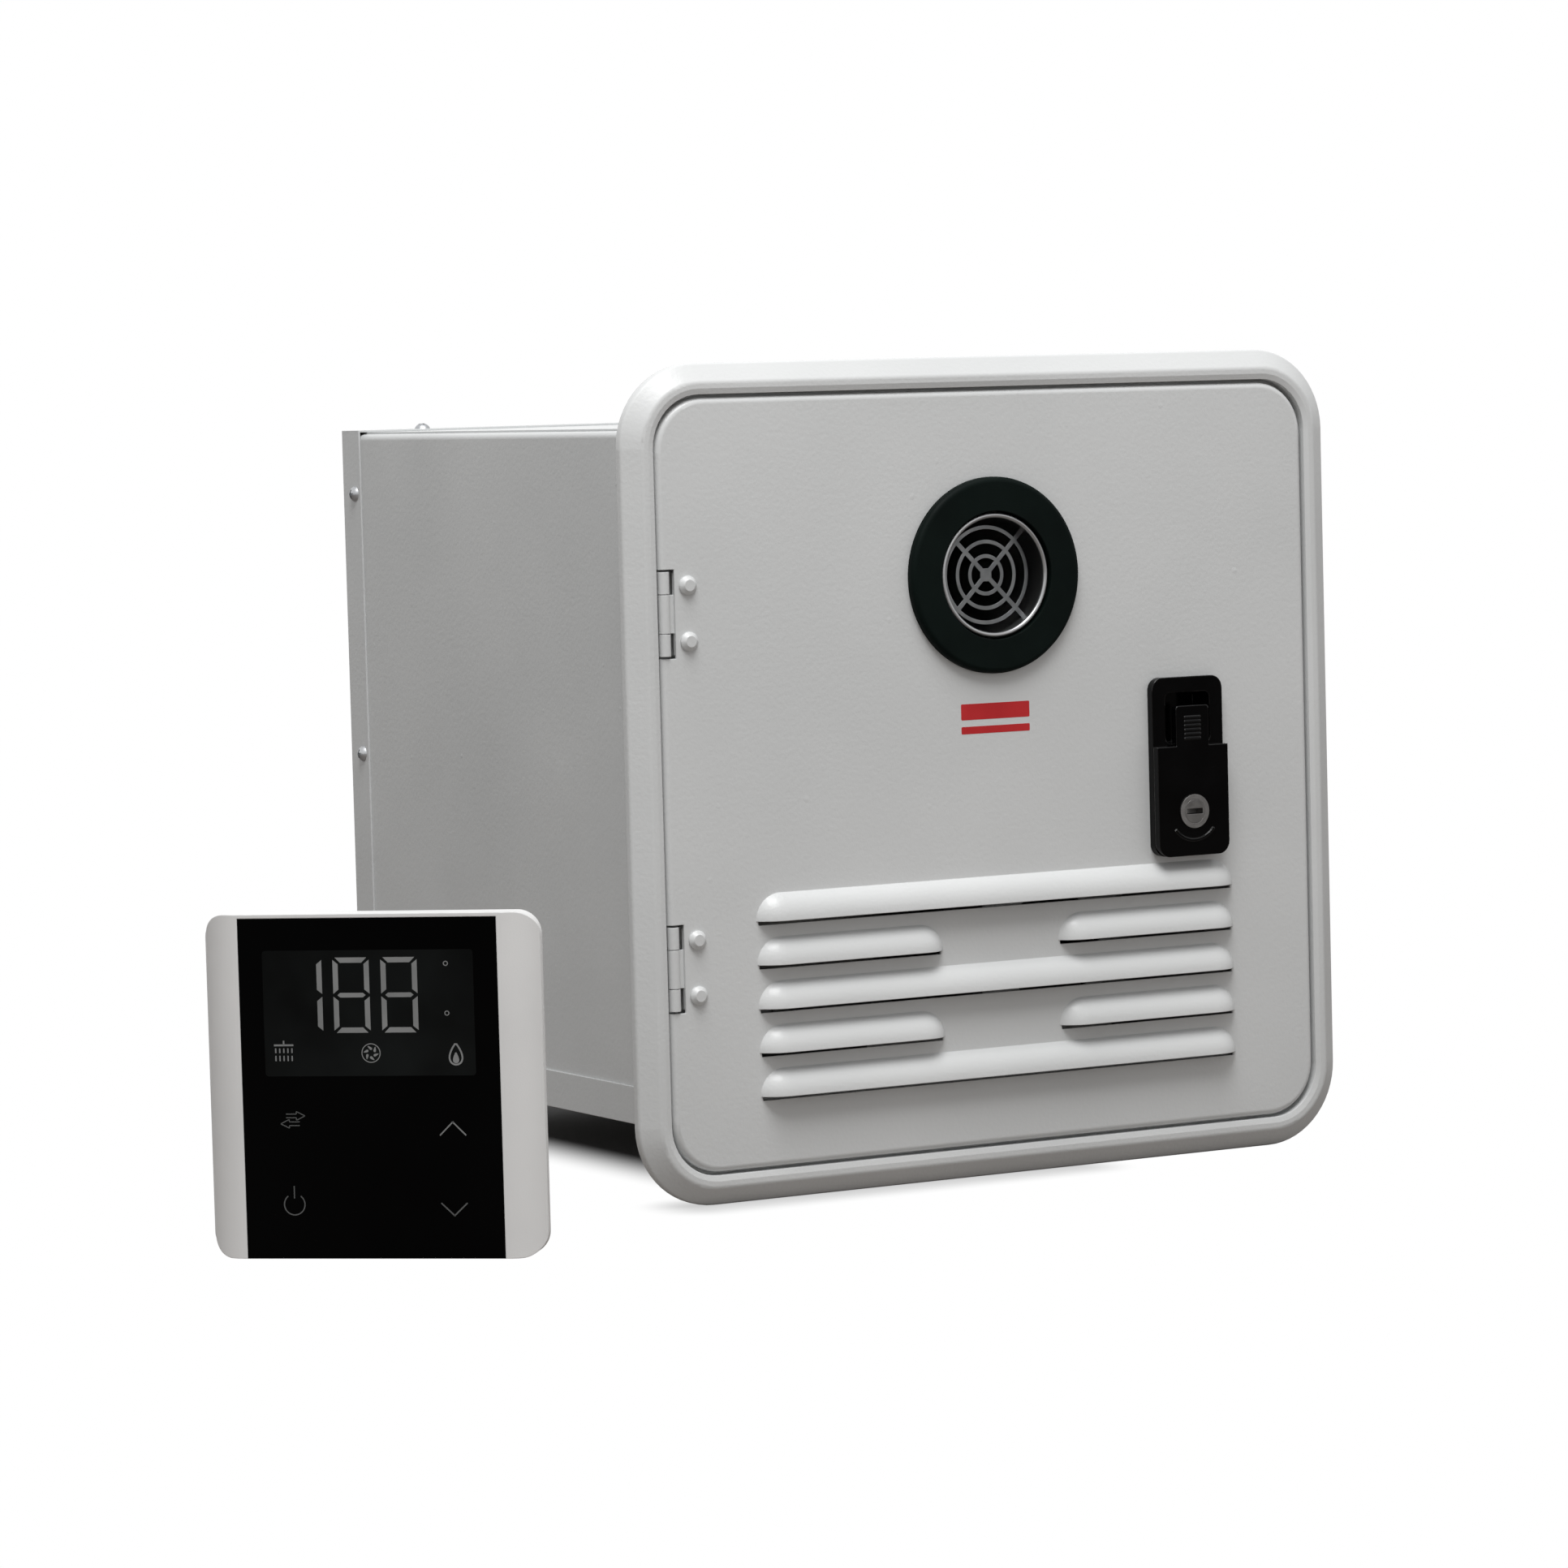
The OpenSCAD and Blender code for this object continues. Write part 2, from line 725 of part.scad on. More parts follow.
module side_panel(side) {
    difference() {
        mirror([side > 0 ? 1 : 0, 0, 0]) slab(-seat_depth, panel_end_y)
            translate([-case_w / 2, floor_z]) side_panel_section();
        at_side_screws(side) screw_hole();
    }
}
module side_panel_left() color(paint) side_panel(-1);
module side_panel_right() color(paint) side_panel(1);

module top_panel() color(paint) {
    inset = fold_r + 1;
    difference() {
        slab(-seat_depth, panel_end_y)
            translate([inset - case_w / 2, case_z1]) square([case_w - 2 * inset, sheet_t]);
        at_top_screws() screw_hole();
    }
}

module base_pan() color(paint) {
    lip_end = case_d - rear_lip - seat_depth;
    slab(-seat_depth, lip_end) translate([0, case_z0]) difference() {
        translate([-case_w / 2 - sheet_t, 0]) square([case_w + 2 * sheet_t, base_lip]);
        translate([-case_w / 2, sheet_t]) square([case_w, base_lip]);
    }
    slab(lip_end, panel_end_y) translate([-case_w / 2, case_z0]) square([case_w, sheet_t]);
}

module rear_panel() color(paint) {
    full_w = case_w + 2 * sheet_t;
    full_h = case_h + 2 * sheet_t;
    difference() {
        union() {
            slab(panel_end_y, case_d) translate([-full_w / 2, case_z0]) square([full_w, full_h]);
            slab(case_d - rear_lip, case_d) translate([0, case_z0]) difference() {
                translate([-full_w / 2, 0]) square([full_w, full_h]);
                translate([-case_w / 2, -1]) square([case_w, full_h - sheet_t + 1]);
            }
        }
        at_side_screws(-1) screw_hole();
        at_side_screws(1) screw_hole();
        at_top_screws() screw_hole();
        for (hole = [[-line_x, cold_z, water_thread_d], [-line_x, tube_z, water_thread_d],
                     [gas_x, gas_z, gas_thread_d], [grommet_x, grommet_z, grommet_d]])
            bar_y(hole[2] + 2 * slip, panel_end_y - 1, case_d + 1, hole[0], hole[1]);
    }
}

module case_screws() color(zinc) {
    at_side_screws(-1) pan_screw(screw_head_d, screw_d, 6);
    at_side_screws(1) pan_screw(screw_head_d, screw_d, 6);
    at_top_screws() pan_screw(screw_head_d, screw_d, 6);
}

// Hinges

module frame_hinge_leaves() color(paint) {
    foot_y = -rebate_t - leaf_t;
    foot_h = notch_h - 2;
    gap_h = knuckle_h + 2 * move_gap;
    for (z = hinge_heights) difference() {
        translate([0, 0, z]) union() {
            block([hinge_x + knuckle_d / 2 + 1, foot_y, -foot_h / 2], [leaf_end_x - 3, -rebate_t, foot_h / 2]);
            for (s = [-1, 1]) {
                z0 = s > 0 ? gap_h / 2 : -foot_h / 2;
                z1 = s > 0 ? foot_h / 2 : -gap_h / 2;
                bar_z(knuckle_d, z0, z1, hinge_x, hinge_y);
                block([hinge_x - leaf_t, hinge_y + knuckle_d / 4, z0], [hinge_x + leaf_t, -rebate_t, z1]);
                block([hinge_x - leaf_t, foot_y, z0], [hinge_x + knuckle_d, -rebate_t, z1]);
            }
        }
        bar_z(hinge_pin_d + run_gap, z - notch_h, z + notch_h, hinge_x, hinge_y);
    }
}

module hinge_pins() color(zinc) {
    for (z = hinge_heights)
        bar_z(hinge_pin_d, z - notch_h / 2 + 1, z + notch_h / 2 - 1, hinge_x, hinge_y);
}

module door_hinge_leaves() color(paint) {
    plate_h = notch_h - 3;
    for (z = hinge_heights) difference() {
        translate([0, 0, z]) union() {
            bar_z(knuckle_d, -knuckle_h / 2, knuckle_h / 2, hinge_x, hinge_y);
            block([hinge_x, skin_y, -knuckle_h / 2], [leaf_end_x, skin_y + leaf_t, knuckle_h / 2]);
            block([notch_w - door_w / 2, skin_y, -plate_h / 2], [leaf_end_x, skin_y + leaf_t, plate_h / 2]);
        }
        bar_z(hinge_pin_d + 2 * run_gap, z - notch_h, z + notch_h, hinge_x, hinge_y);
        at_rivets(z) bar_y(rivet_d + 2 * run_gap, door_y - 1, 0, 0, 0);
    }
}

module at_rivets(z) {
    for (s = [-1, 1]) translate([rivet_x, 0, z + s * rivet_pitch / 2]) children();
}

module hinge_rivets() color(paint) {
    tail_y = skin_y + leaf_t;
    for (z = hinge_heights) at_rivets(z) {
        upright(door_y) {
            cylinder(d = rivet_head_d, h = rivet_head_h * 0.35);
            translate([0, 0, rivet_head_h * 0.35])
                cylinder(d1 = rivet_head_d, d2 = rivet_head_d * 0.6, h = rivet_head_h * 0.65);
        }
        bar_y(rivet_d, door_y, tail_y + 0.5, 0, 0);
        bar_y(rivet_d + 2.4, tail_y, tail_y + 1, 0, 0);
    }
}

// Door

// Section of the door's edge: rolled front, side wall and hem, from the door's outer edge inwards
module door_edge_section() {
    side_h = -door_y - door_edge_r;
    translate([-skin_t, -hem_y]) square([skin_t, side_h + hem_y]);
    translate([-door_edge_r, side_h]) quarter_ring(door_edge_r, skin_t);
    translate([-hem_w, -hem_y]) square([hem_w, skin_t]);
    // Tongue that laps into the face
    translate([-door_edge_r - 1, side_h + door_edge_r - skin_t]) square([1, skin_t]);
}

module louvre_section() {
    intersection() {
        translate([0, -hood_sink]) difference() {
            circle(hood_r);
            circle(hood_r - skin_t);
        }
        translate([0, -skin_t]) square([louvre_h + skin_t, louvre_d + skin_t]);
    }
}

// Pressed hood over one slot: a bowed strip that ends in a quarter of a dome on both sides
module louvre_hood(x0, x1) {
    upright(door_y) {
        translate([x0 + louvre_h, 0, 0])
            rotate([90, 0, 90]) linear_extrude(x1 - x0 - 2 * louvre_h) louvre_section();
        translate([x1 - louvre_h, 0, 0]) louvre_end();
        translate([x0 + louvre_h, 0, 0]) mirror([1, 0, 0]) louvre_end();
    }
}

// Quarter of a hollow dome
module louvre_end() {
    reach = louvre_h + skin_t;
    intersection() {
        translate([0, 0, -hood_sink]) rotate([0, 90, 0]) difference() {
            sphere(hood_r);
            sphere(hood_r - skin_t);
        }
        translate([0, 0, -skin_t]) cube([reach, reach, louvre_d + 2 * skin_t]);
    }
}

module louvre_slot(x0, x1) {
    translate([x0 + louvre_h, -louvre_slit]) square([x1 - x0 - 2 * louvre_h, slot_r + louvre_slit]);
    for (x = [x0 + louvre_h, x1 - louvre_h]) translate([x, 0]) intersection() {
        circle(slot_r);
        translate([-slot_r, -louvre_slit]) square([2 * slot_r, slot_r + louvre_slit]);
    }
}

module door_panel() color(paint) {
    difference() {
        union() {
            rim(door_w, door_h, door_r) door_edge_section();
            slab(door_y, skin_y)
                round_rect(door_w - 2 * door_edge_r, door_h - 2 * door_edge_r, door_r - door_edge_r);
        }
        slab(door_y - 1, skin_y + 1) {
            for (l = louvres) translate([0, l[0]]) louvre_slot(l[1], l[2]);
            translate([latch_x, latch_z])
                square([latch_body_w + 2 * slip, latch_body_h + 2 * slip], center = true);
        }
        bar_y(2 * flue_hole_r, door_y - 1, skin_y + 1, 0, flue_z);
        for (z = hinge_heights) {
            block([-door_w / 2 - 1, door_y - 1, z - notch_h / 2], [notch_w - door_w / 2, 0, z + notch_h / 2]);
            at_rivets(z) bar_y(rivet_d + 2 * run_gap, door_y - 1, skin_y + 1, 0, 0);
        }
    }
    for (l = louvres) translate([0, 0, l[0]]) louvre_hood(l[1], l[2]);
}

// Flue outlet

// Rubber grommet: flange in front of the door, neck through it and lip behind it
module flue_ring() color(black) {
    rim_r = ring_d / 2 - ring_edge_r;
    translate([0, 0, flue_z]) upright(door_y) rotate_extrude() {
        translate([ring_in_r, 0]) square([rim_r - ring_in_r, ring_t]);
        translate([rim_r, 0]) square([ring_edge_r, ring_t - ring_edge_r]);
        translate([rim_r, ring_t - ring_edge_r]) intersection() {
            circle(ring_edge_r);
            square(ring_edge_r);
        }
        translate([ring_in_r, -skin_t - ring_lip_t]) square([flue_hole_r - slip - ring_in_r, skin_t + ring_lip_t]);
        translate([ring_in_r, -skin_t - ring_lip_t]) square([ring_lip_r - ring_in_r, ring_lip_t]);
    }
}

module exhaust_tube() color(steel) {
    tube_end_y = stack_y + 5;
    bead_r = bead_d / 2;
    translate([0, 0, flue_z]) upright() rotate_extrude() {
        translate([tube_r - tube_t, -tube_end_y]) square([tube_t, tube_end_y - tube_y - bead_r]);
        translate([tube_r - bead_r, -tube_y - bead_r]) circle(bead_r);
    }
}

module flue_grille() color(steel) {
    tube_in_r = tube_r - tube_t;
    slab(grille_y, grille_y + grille_t) translate([0, flue_z]) {
        for (i = [0:2]) difference() {
            circle(grille_inner_r + i * grille_pitch);
            circle(grille_inner_r + i * grille_pitch - grille_bar);
        }
        intersection() {
            circle(tube_in_r);
            for (a = [45, 135]) rotate(a) square([2 * tube_in_r + 2, spoke_w], center = true);
        }
        square(grille_hub, center = true);
    }
}

// Burner stack

// Sheet duct with the stack's outline, between two heights
module stack_shell(z0, h) {
    translate([0, stack_y + stack_d / 2, z0]) linear_extrude(h) duct_ring(stack_w, stack_d, stack_t);
}

// Side view of the hood, drawn in by a wall
module hood_outline(wall) {
    roof_y = stack_d * 0.4;
    tail_h = (hood_z1 - hood_z0) * 0.35;
    polygon([
        [wall, 0],
        [wall, hood_z1 - hood_z0 - wall],
        [roof_y - wall / 2, hood_z1 - hood_z0 - wall],
        [stack_d - wall, tail_h - wall / 2],
        [stack_d - wall, 0]
    ]);
}

module flue_hood() color(steel) {
    difference() {
        translate([-stack_w / 2, stack_y, hood_z0]) rotate([90, 0, 90])
            linear_extrude(stack_w) hood_outline(0);
        translate([stack_t - stack_w / 2, stack_y, hood_z0]) rotate([90, 0, 90])
            linear_extrude(stack_w - 2 * stack_t) hood_outline(stack_t);
        bar_y(tube_d + 2 * run_gap, stack_y - 1, stack_y + stack_t + 1, 0, flue_z);
    }
}

module heat_exchanger() color(copper) {
    fin_count = floor((stack_w - 2 * stack_t) / fin_pitch) - 1;
    difference() {
        union() {
            stack_shell(exchanger_z, exchanger_h);
            for (i = [0:fin_count - 1])
                translate([(i - (fin_count - 1) / 2) * fin_pitch - fin_t / 2, stack_y + stack_t / 2, exchanger_z + 3])
                    cube([fin_t, stack_d - stack_t, exchanger_h - 6]);
        }
        for (y = tube_ys) bar_x(pipe_d + 2 * run_gap, -stack_w, stack_w, y, tube_z);
    }
}

module exchanger_tubes() color(copper) {
    last = tube_count - 1;
    for (i = [0:last])
        bar_x(pipe_d, i == 0 || i == last ? -tube_end_x : -stack_w / 2, stack_w / 2, tube_ys[i], tube_z);
    for (i = [0:last - 1])
        translate([(i % 2 == 0 ? 1 : -1) * stack_w / 2, tube_ys[i] + tube_pitch / 2, tube_z])
            rotate(i % 2 == 0 ? -90 : 90) rotate_extrude(angle = 180) translate([tube_pitch / 2, 0]) circle(pipe_r);
}

module combustion_chamber() color(steel) {
    difference() {
        stack_shell(chamber_z, chamber_h);
        for (x = electrode_xs)
            bar_y(electrode_d + 2 * run_gap, stack_y - 1, stack_y + stack_t + 1, x, electrode_z);
        bar_y(sight_d - 6, stack_y - 1, stack_y + stack_t + 1, sight_x, sight_z);
    }
}

module burner_tray() color(steel) {
    rail_w = stack_w / 2 - stack_t - bar_len / 2 + 5;
    difference() {
        union() {
            stack_shell(tray_z, tray_h);
            translate([-stack_w / 2, stack_y, tray_z]) cube([stack_w, stack_d, stack_t]);
        }
        block([spout_x - blower_depth + blower_t, stack_y - 1, max(spout_z + blower_t, tray_z + stack_t)],
              [spout_x - blower_t, stack_y + stack_t + 1, spout_z + spout_h - blower_t]);
        for (y = bar_ys) bar_x(jet_d + 2 * run_gap, -stack_w / 2 - 1, stack_t + 1 - stack_w / 2, y, jet_z);
    }
    // Rails that carry the burner bars, and feet on the base pan
    for (s = [-1, 1]) {
        x = s > 0 ? stack_w / 2 - stack_t - rail_w : stack_t - stack_w / 2;
        translate([x, stack_y + stack_t / 2, bar_z - stack_t]) cube([rail_w, stack_d - stack_t, stack_t]);
        for (y = [stack_y + 4, stack_y1 - 24])
            translate([s * (stack_w / 2 - 12) - 8, y, floor_z]) cube([16, 20, tray_z - floor_z]);
    }
}

// Burner bars: slim bodies with a narrower head, slotted along the top
module burner_bars() color(steel) {
    head_w = bar_w * 0.6;
    for (y = bar_ys) difference() {
        translate([-bar_len / 2, y, bar_z]) rotate([90, 0, 90]) linear_extrude(bar_len) polygon([
            [-bar_w / 2, 0], [bar_w / 2, 0], [bar_w / 2, bar_h * 0.55], [head_w / 2, bar_h * 0.75],
            [head_w / 2, bar_h], [-head_w / 2, bar_h], [-head_w / 2, bar_h * 0.75], [-bar_w / 2, bar_h * 0.55]
        ]);
        translate([8 - bar_len / 2, y - head_w / 6, bar_z + bar_h - 4]) cube([bar_len - 16, head_w / 3, 5]);
        bar_x(jet_d + 2, -bar_len / 2 - 1, 14 - bar_len / 2, y, jet_z);
    }
}

module gas_manifold() color(steel) {
    bar_y(manifold_d, valve_y1, stack_y1 - 8, manifold_x, jet_z);
    for (y = bar_ys) {
        bar_x(jet_d + 3, manifold_x, -stack_w / 2, y, jet_z);
        bar_x(jet_d, manifold_x, 6 - stack_w / 2, y, jet_z);
    }
}

// Gas valve: a cast block with a rounded lid and ports, and two coils on its front
module gas_valve() color(steel) {
    x1 = valve_x0 + valve_w;
    y0 = valve_y1 - valve_d;
    translate([0, 0, valve_z0]) linear_extrude(valve_h) translate([valve_x0 + valve_w / 2, y0 + valve_d / 2])
        round_rect(valve_w, valve_d, 6);
    bar_z(valve_w - 10, valve_z0 + valve_h, valve_z0 + valve_h + 5, valve_x0 + valve_w / 2, y0 + valve_d / 2);
    block([valve_x0 + 6, y0 + 8, floor_z], [x1 - 6, valve_y1 - 8, valve_z0]);
    bar_y(manifold_d + 5, valve_y1 - 4, valve_y1, manifold_x, jet_z);
}

module valve_coils() color(black) {
    y0 = valve_y1 - valve_d;
    for (s = [-1, 1]) translate([valve_x0 + valve_w / 2 + s * (coil_d / 2 + 1), 0, coil_z]) {
        bar_y(coil_d, y0 - coil_len, y0, 0, 0);
        bar_y(coil_d * 0.45, y0 - coil_len - 3, y0 - coil_len, 0, 0);
    }
}

// Threaded fitting through the rear panel: hexagon inside, lock nut and thread outside
module rear_fitting(x, z, thread_d, thread_len, hex_d) {
    translate([x, panel_end_y, z]) rotate([90, 0, 0]) cylinder(d = hex_d, h = fitting_front, $fn = 6);
    translate([x, case_d + lock_nut_h, z]) rotate([90, 0, 0]) cylinder(d = hex_d, h = lock_nut_h, $fn = 6);
    bar_y(thread_d, panel_end_y, case_d + lock_nut_h + thread_len, x, z);
}

module gas_inlet_pipe() color(brass) {
    bar_y(gas_pipe_d, valve_y1, panel_end_y - fitting_front, gas_x, gas_z);
    rear_fitting(gas_x, gas_z, gas_thread_d, gas_thread_len, gas_thread_d + 5);
}

// Ignition parts on the chamber's front
electrode_xs = [-8, 12];
electrode_z = chamber_z + 14;
electrode_d = 8;
electrode_len = 22;
electrode_in = 6;
electrode_collar = 4;
needle_d = 2.4;
needle_out = 32;
needle_in = 30;
sight_d = 20;
sight_t = 3;
sight_x = 46;
sight_z = chamber_z + chamber_h / 2;
spark_x = -58;
spark_w = 36;
spark_h = 30;
spark_d = 22;
spark_port_d = 6;
spark_port_len = 8;
spark_port_pitch = 16;
spark_z = chamber_z + chamber_h * 0.42;

module spark_generator() color(black) {
    mid_x = spark_x + spark_w / 2;
    mid_z = spark_z + spark_h / 2;
    front_y = stack_y - spark_d;
    slab(front_y, stack_y) translate([mid_x, mid_z]) round_rect(spark_w, spark_h, 3);
    for (s = [-1, 1])
        bar_y(spark_port_d, front_y - spark_port_len, front_y, mid_x + s * spark_port_pitch / 2, mid_z);
}

module electrodes() color("white") {
    for (x = electrode_xs) {
        bar_y(electrode_d, stack_y - electrode_len, stack_y + electrode_in, x, electrode_z);
        bar_y(electrode_d + electrode_collar, stack_y - electrode_collar, stack_y, x, electrode_z);
        bar_y(needle_d, stack_y - needle_out, stack_y + needle_in, x, electrode_z);
    }
}

module sight_glass() color([0.75, 0.85, 0.88]) {
    bar_y(sight_d, stack_y - sight_t, stack_y, sight_x, sight_z);
}

// Blower

// Scroll of three growing quarter circles, a closing one and the outlet, drawn in by a wall
module scroll_outline(wall) {
    r1 = scroll_r - wall;
    r2 = r1 + scroll_step;
    r3 = r2 + scroll_step;
    translate([-r1, 0]) intersection() {
        translate([r1, 0]) circle(r1);
        square([r1, r1]);
    }
    translate([0, -scroll_step]) intersection() {
        circle(r2);
        square([r2, r2]);
    }
    translate([-scroll_step, -scroll_step]) intersection() {
        circle(r3);
        translate([0, -r3]) square([r3, r3]);
    }
    intersection() {
        circle(r1);
        translate([-r1, -r1]) square([r1, r1]);
    }
    translate([-scroll_step, -scroll_step]) square([scroll_step, scroll_step + r1 / 2]);
    translate([0, -scroll_step]) square([r1 / 2, scroll_step]);
    translate([-spout_len, wall - scroll_drop]) square([spout_len - scroll_step, spout_h - 2 * wall]);
}

module blower_housing() color(zinc) {
    y1 = blower_y + blower_depth;
    foot_w = 44;
    difference() {
        translate([blower_x, 0, blower_z]) slab(blower_y, y1) scroll_outline(0);
        translate([blower_x, 0, blower_z]) slab(blower_y + blower_t, y1 - blower_t) scroll_outline(blower_t);
        bar_y(intake_d, blower_y - 1, blower_y + blower_t + 1, blower_x, blower_z);
        bar_y(shaft_d + 4, y1 - blower_t - 1, y1 + 1, blower_x, blower_z);
        block([spout_x - 1, blower_y + blower_t, spout_z + blower_t],
              [spout_x + blower_t + 1, y1 - blower_t, spout_z + spout_h - blower_t]);
    }
    // Foot flange on the base pan
    block([blower_x - foot_w / 2, blower_y + 6, floor_z], [blower_x + foot_w / 2, y1 - 6, spout_z + blower_t / 2]);
}

module blower_motor() color(black) {
    y0 = blower_y + blower_depth;
    bar_y(motor_d, y0, y0 + motor_len, blower_x, blower_z);
    bar_y(motor_d + 8, y0, y0 + 3, blower_x, blower_z);
    bar_y(shaft_d, blower_y + 7, y0, blower_x, blower_z);
}

// Drum wheel: back plate with hub, curved blades and a front ring
module impeller() color(black) {
    r = impeller_d / 2;
    y0 = blower_y + blower_t + 2.5;
    y1 = blower_y + blower_depth - blower_t - 3;
    blade_r = 14;
    blade_t = 1;
    blade_w = 9;
    translate([blower_x, 0, blower_z]) difference() {
        union() {
            bar_y(impeller_d, y1 - 2, y1, 0, 0);
            bar_y(16, y0 + 6, y1, 0, 0);
            slab(y0, y0 + 2) difference() {
                circle(r);
                circle(r - blade_w + 1);
            }
            slab(y0 + 1, y1 - 1) for (i = [0:blade_count - 1]) rotate(i * 360 / blade_count)
                translate([r - blade_w / 2 - 0.6, -blade_r]) intersection() {
                    difference() {
                        circle(blade_r);
                        circle(blade_r - blade_t);
                    }
                    translate([-blade_w / 2, 0]) square([blade_w, blade_r]);
                }
        }
        bar_y(shaft_d + 2 * run_gap, y0, y1 + 1, 0, 0);
    }
}

// Square elbow from the blower's outlet back to the burner tray
module air_duct() color(zinc) {
    x0 = spout_x - blower_depth;
    difference() {
        block([x0, blower_y, spout_z], [spout_x, stack_y, spout_z + spout_h]);
        block([x0 + blower_t, blower_y + blower_t, spout_z + blower_t],
              [spout_x - blower_t, stack_y + 1, spout_z + spout_h - blower_t]);
        block([spout_x - blower_t - 1, blower_y + blower_t, spout_z + blower_t],
              [spout_x + 1, blower_y + blower_depth - blower_t, spout_z + spout_h - blower_t]);
    }
}

// Water line

module cold_inlet() color(brass) rear_fitting(-line_x, cold_z, water_thread_d, water_thread_len, fitting_hex);
module hot_outlet() color(brass) rear_fitting(-line_x, tube_z, water_thread_d, water_thread_len, fitting_hex);

module cold_pipe() color(copper)
    bar_y(pipe_d, tee_y + tee_len / 2, panel_end_y - fitting_front, -line_x, cold_z);

// Tee with the pressure relief valve on its front and the handle's tang
module relief_valve() color(brass) {
    y0 = tee_y - tee_len / 2;
    difference() {
        union() {
            bar_y(2 * tee_r, y0, tee_y + tee_len / 2, -line_x, cold_z);
            bar_z(pipe_d + 5, cold_z, flow_z0, -line_x, tee_y);
            translate([-line_x, y0, cold_z]) rotate([90, 0, 0]) cylinder(d = 2 * tee_r - 1, h = relief_nut, $fn = 6);
            block([-line_x - relief_tang / 2, relief_y - relief_tang, cold_z - relief_tang],
                  [relief_tang / 2 - line_x, y0 - relief_nut + 2, cold_z + relief_tang]);
        }
        bar_x(relief_pin_d + 2 * run_gap, -line_x - 5, 5 - line_x, relief_y, cold_z);
    }
}

// Pressed handle that hangs from the tang: two ears, their pin and a turned-out grip
module relief_lever() color(zinc) {
    ear_x = relief_tang / 2 + move_gap;
    ear_t = 1.4;
    grip_z = cold_z - relief_len;
    bar_x(relief_pin_d, -line_x - ear_x - ear_t, ear_x + ear_t - line_x, relief_y, cold_z);
    for (s = [-1, 1]) {
        x = -line_x + (s > 0 ? ear_x : -ear_x - ear_t);
        bar_x(7, x, x + ear_t, relief_y, cold_z);
        block([x, relief_y - 3.5, cold_z - 9], [x + ear_t, relief_y + 1, cold_z]);
    }
    block([-line_x - ear_x - ear_t, relief_y - 3.5, grip_z], [ear_x + ear_t - line_x, relief_y - 2.1, cold_z - 6]);
    block([-line_x - 7, relief_y - 6, grip_z - 1.4], [7 - line_x, relief_y - 2.1, grip_z]);
}

module flow_sensor() color(black) {
    chamber_z0 = flow_z0 + flow_end + flow_wall;
    difference() {
        union() {
            bar_z(flow_d, flow_z0 + flow_end, riser_z - flow_end, -line_x, tee_y);
            bar_z(pipe_d + 4, flow_z0, riser_z, -line_x, tee_y);
            block([-line_x - 8, tee_y - flow_d / 2 - 5, flow_z0 + flow_end + 6],
                  [8 - line_x, tee_y, riser_z - flow_end - 6]);
        }
        bar_z(flow_d - 2 * flow_wall, chamber_z0, chamber_z0 + flow_h, -line_x, tee_y);
    }
}

module flow_turbine() color("white") {
    z0 = flow_z0 + flow_end + flow_wall;
    bar_z(2, z0 + move_gap, z0 + flow_h - move_gap, -line_x, tee_y);
    bar_z(6, z0 + 5, z0 + flow_h - 5, -line_x, tee_y);
    for (i = [0:2]) translate([-line_x, tee_y, z0 + flow_h / 2]) rotate(60 * i)
        cube([flow_d - 2 * flow_wall - 1.6, 1.2, flow_h - 12], center = true);
}

// Pipe elbow: a quarter turn from +X towards +Y around the origin
module elbow() rotate_extrude(angle = 90) translate([pipe_bend, 0]) circle(pipe_r);

module cold_riser() color(copper) {
    top_z = tube_z;
    bend_y = tube_ys[0] - pipe_bend;
    bend_x = pipe_bend - line_x;
    bar_z(pipe_d, riser_z, top_z - pipe_bend, -line_x, tee_y);
    translate([-line_x, tee_y + pipe_bend, top_z - pipe_bend]) rotate([90, 0, 90]) rotate(90) elbow();
    bar_y(pipe_d, tee_y + pipe_bend, bend_y, -line_x, top_z);
    translate([bend_x, bend_y, top_z]) rotate(90) elbow();
    bar_x(pipe_d, bend_x, -tube_end_x, tube_ys[0], top_z);
}

module hot_pipe() color(copper) {
    y = tube_ys[tube_count - 1];
    bend_x = pipe_bend - line_x;
    bar_x(pipe_d, bend_x, -tube_end_x, y, tube_z);
    translate([bend_x, y + pipe_bend, tube_z]) rotate(180) elbow();
    bar_y(pipe_d, y + pipe_bend, panel_end_y - fitting_front, -line_x, tube_z);
}

// Round cut-outs on the exchanger's front, each with two flat tabs
cutout_inset = 33;
cutout_d = 16;
cutout_t = 6;
tab_w = 5;
tab_t = 1;
tab_len = 8;
tab_pitch = 8;

module thermal_cutouts() color(black) {
    front_y = stack_y - cutout_t;
    for (s = [-1, 1]) translate([s * (stack_w / 2 - cutout_inset), 0, tube_z]) {
        bar_y(cutout_d, front_y, stack_y, 0, 0);
        for (k = [-1, 1])
            block([k * tab_pitch / 2 - tab_t / 2, front_y - tab_len, -tab_w / 2],
                  [k * tab_pitch / 2 + tab_t / 2, front_y, tab_w / 2]);
    }
}

// Control box

module control_box() color([0.85, 0.85, 0.82]) {
    x1 = control_x0 + control_w;
    difference() {
        block([control_x0, control_y, control_z], [x1, control_y + control_d, control_z + control_h]);
        block([control_x0 + control_t, control_y - 1, control_z + control_t],
              [x1 - control_t, control_y + control_d - control_t, control_z + control_h - control_t]);
    }
}

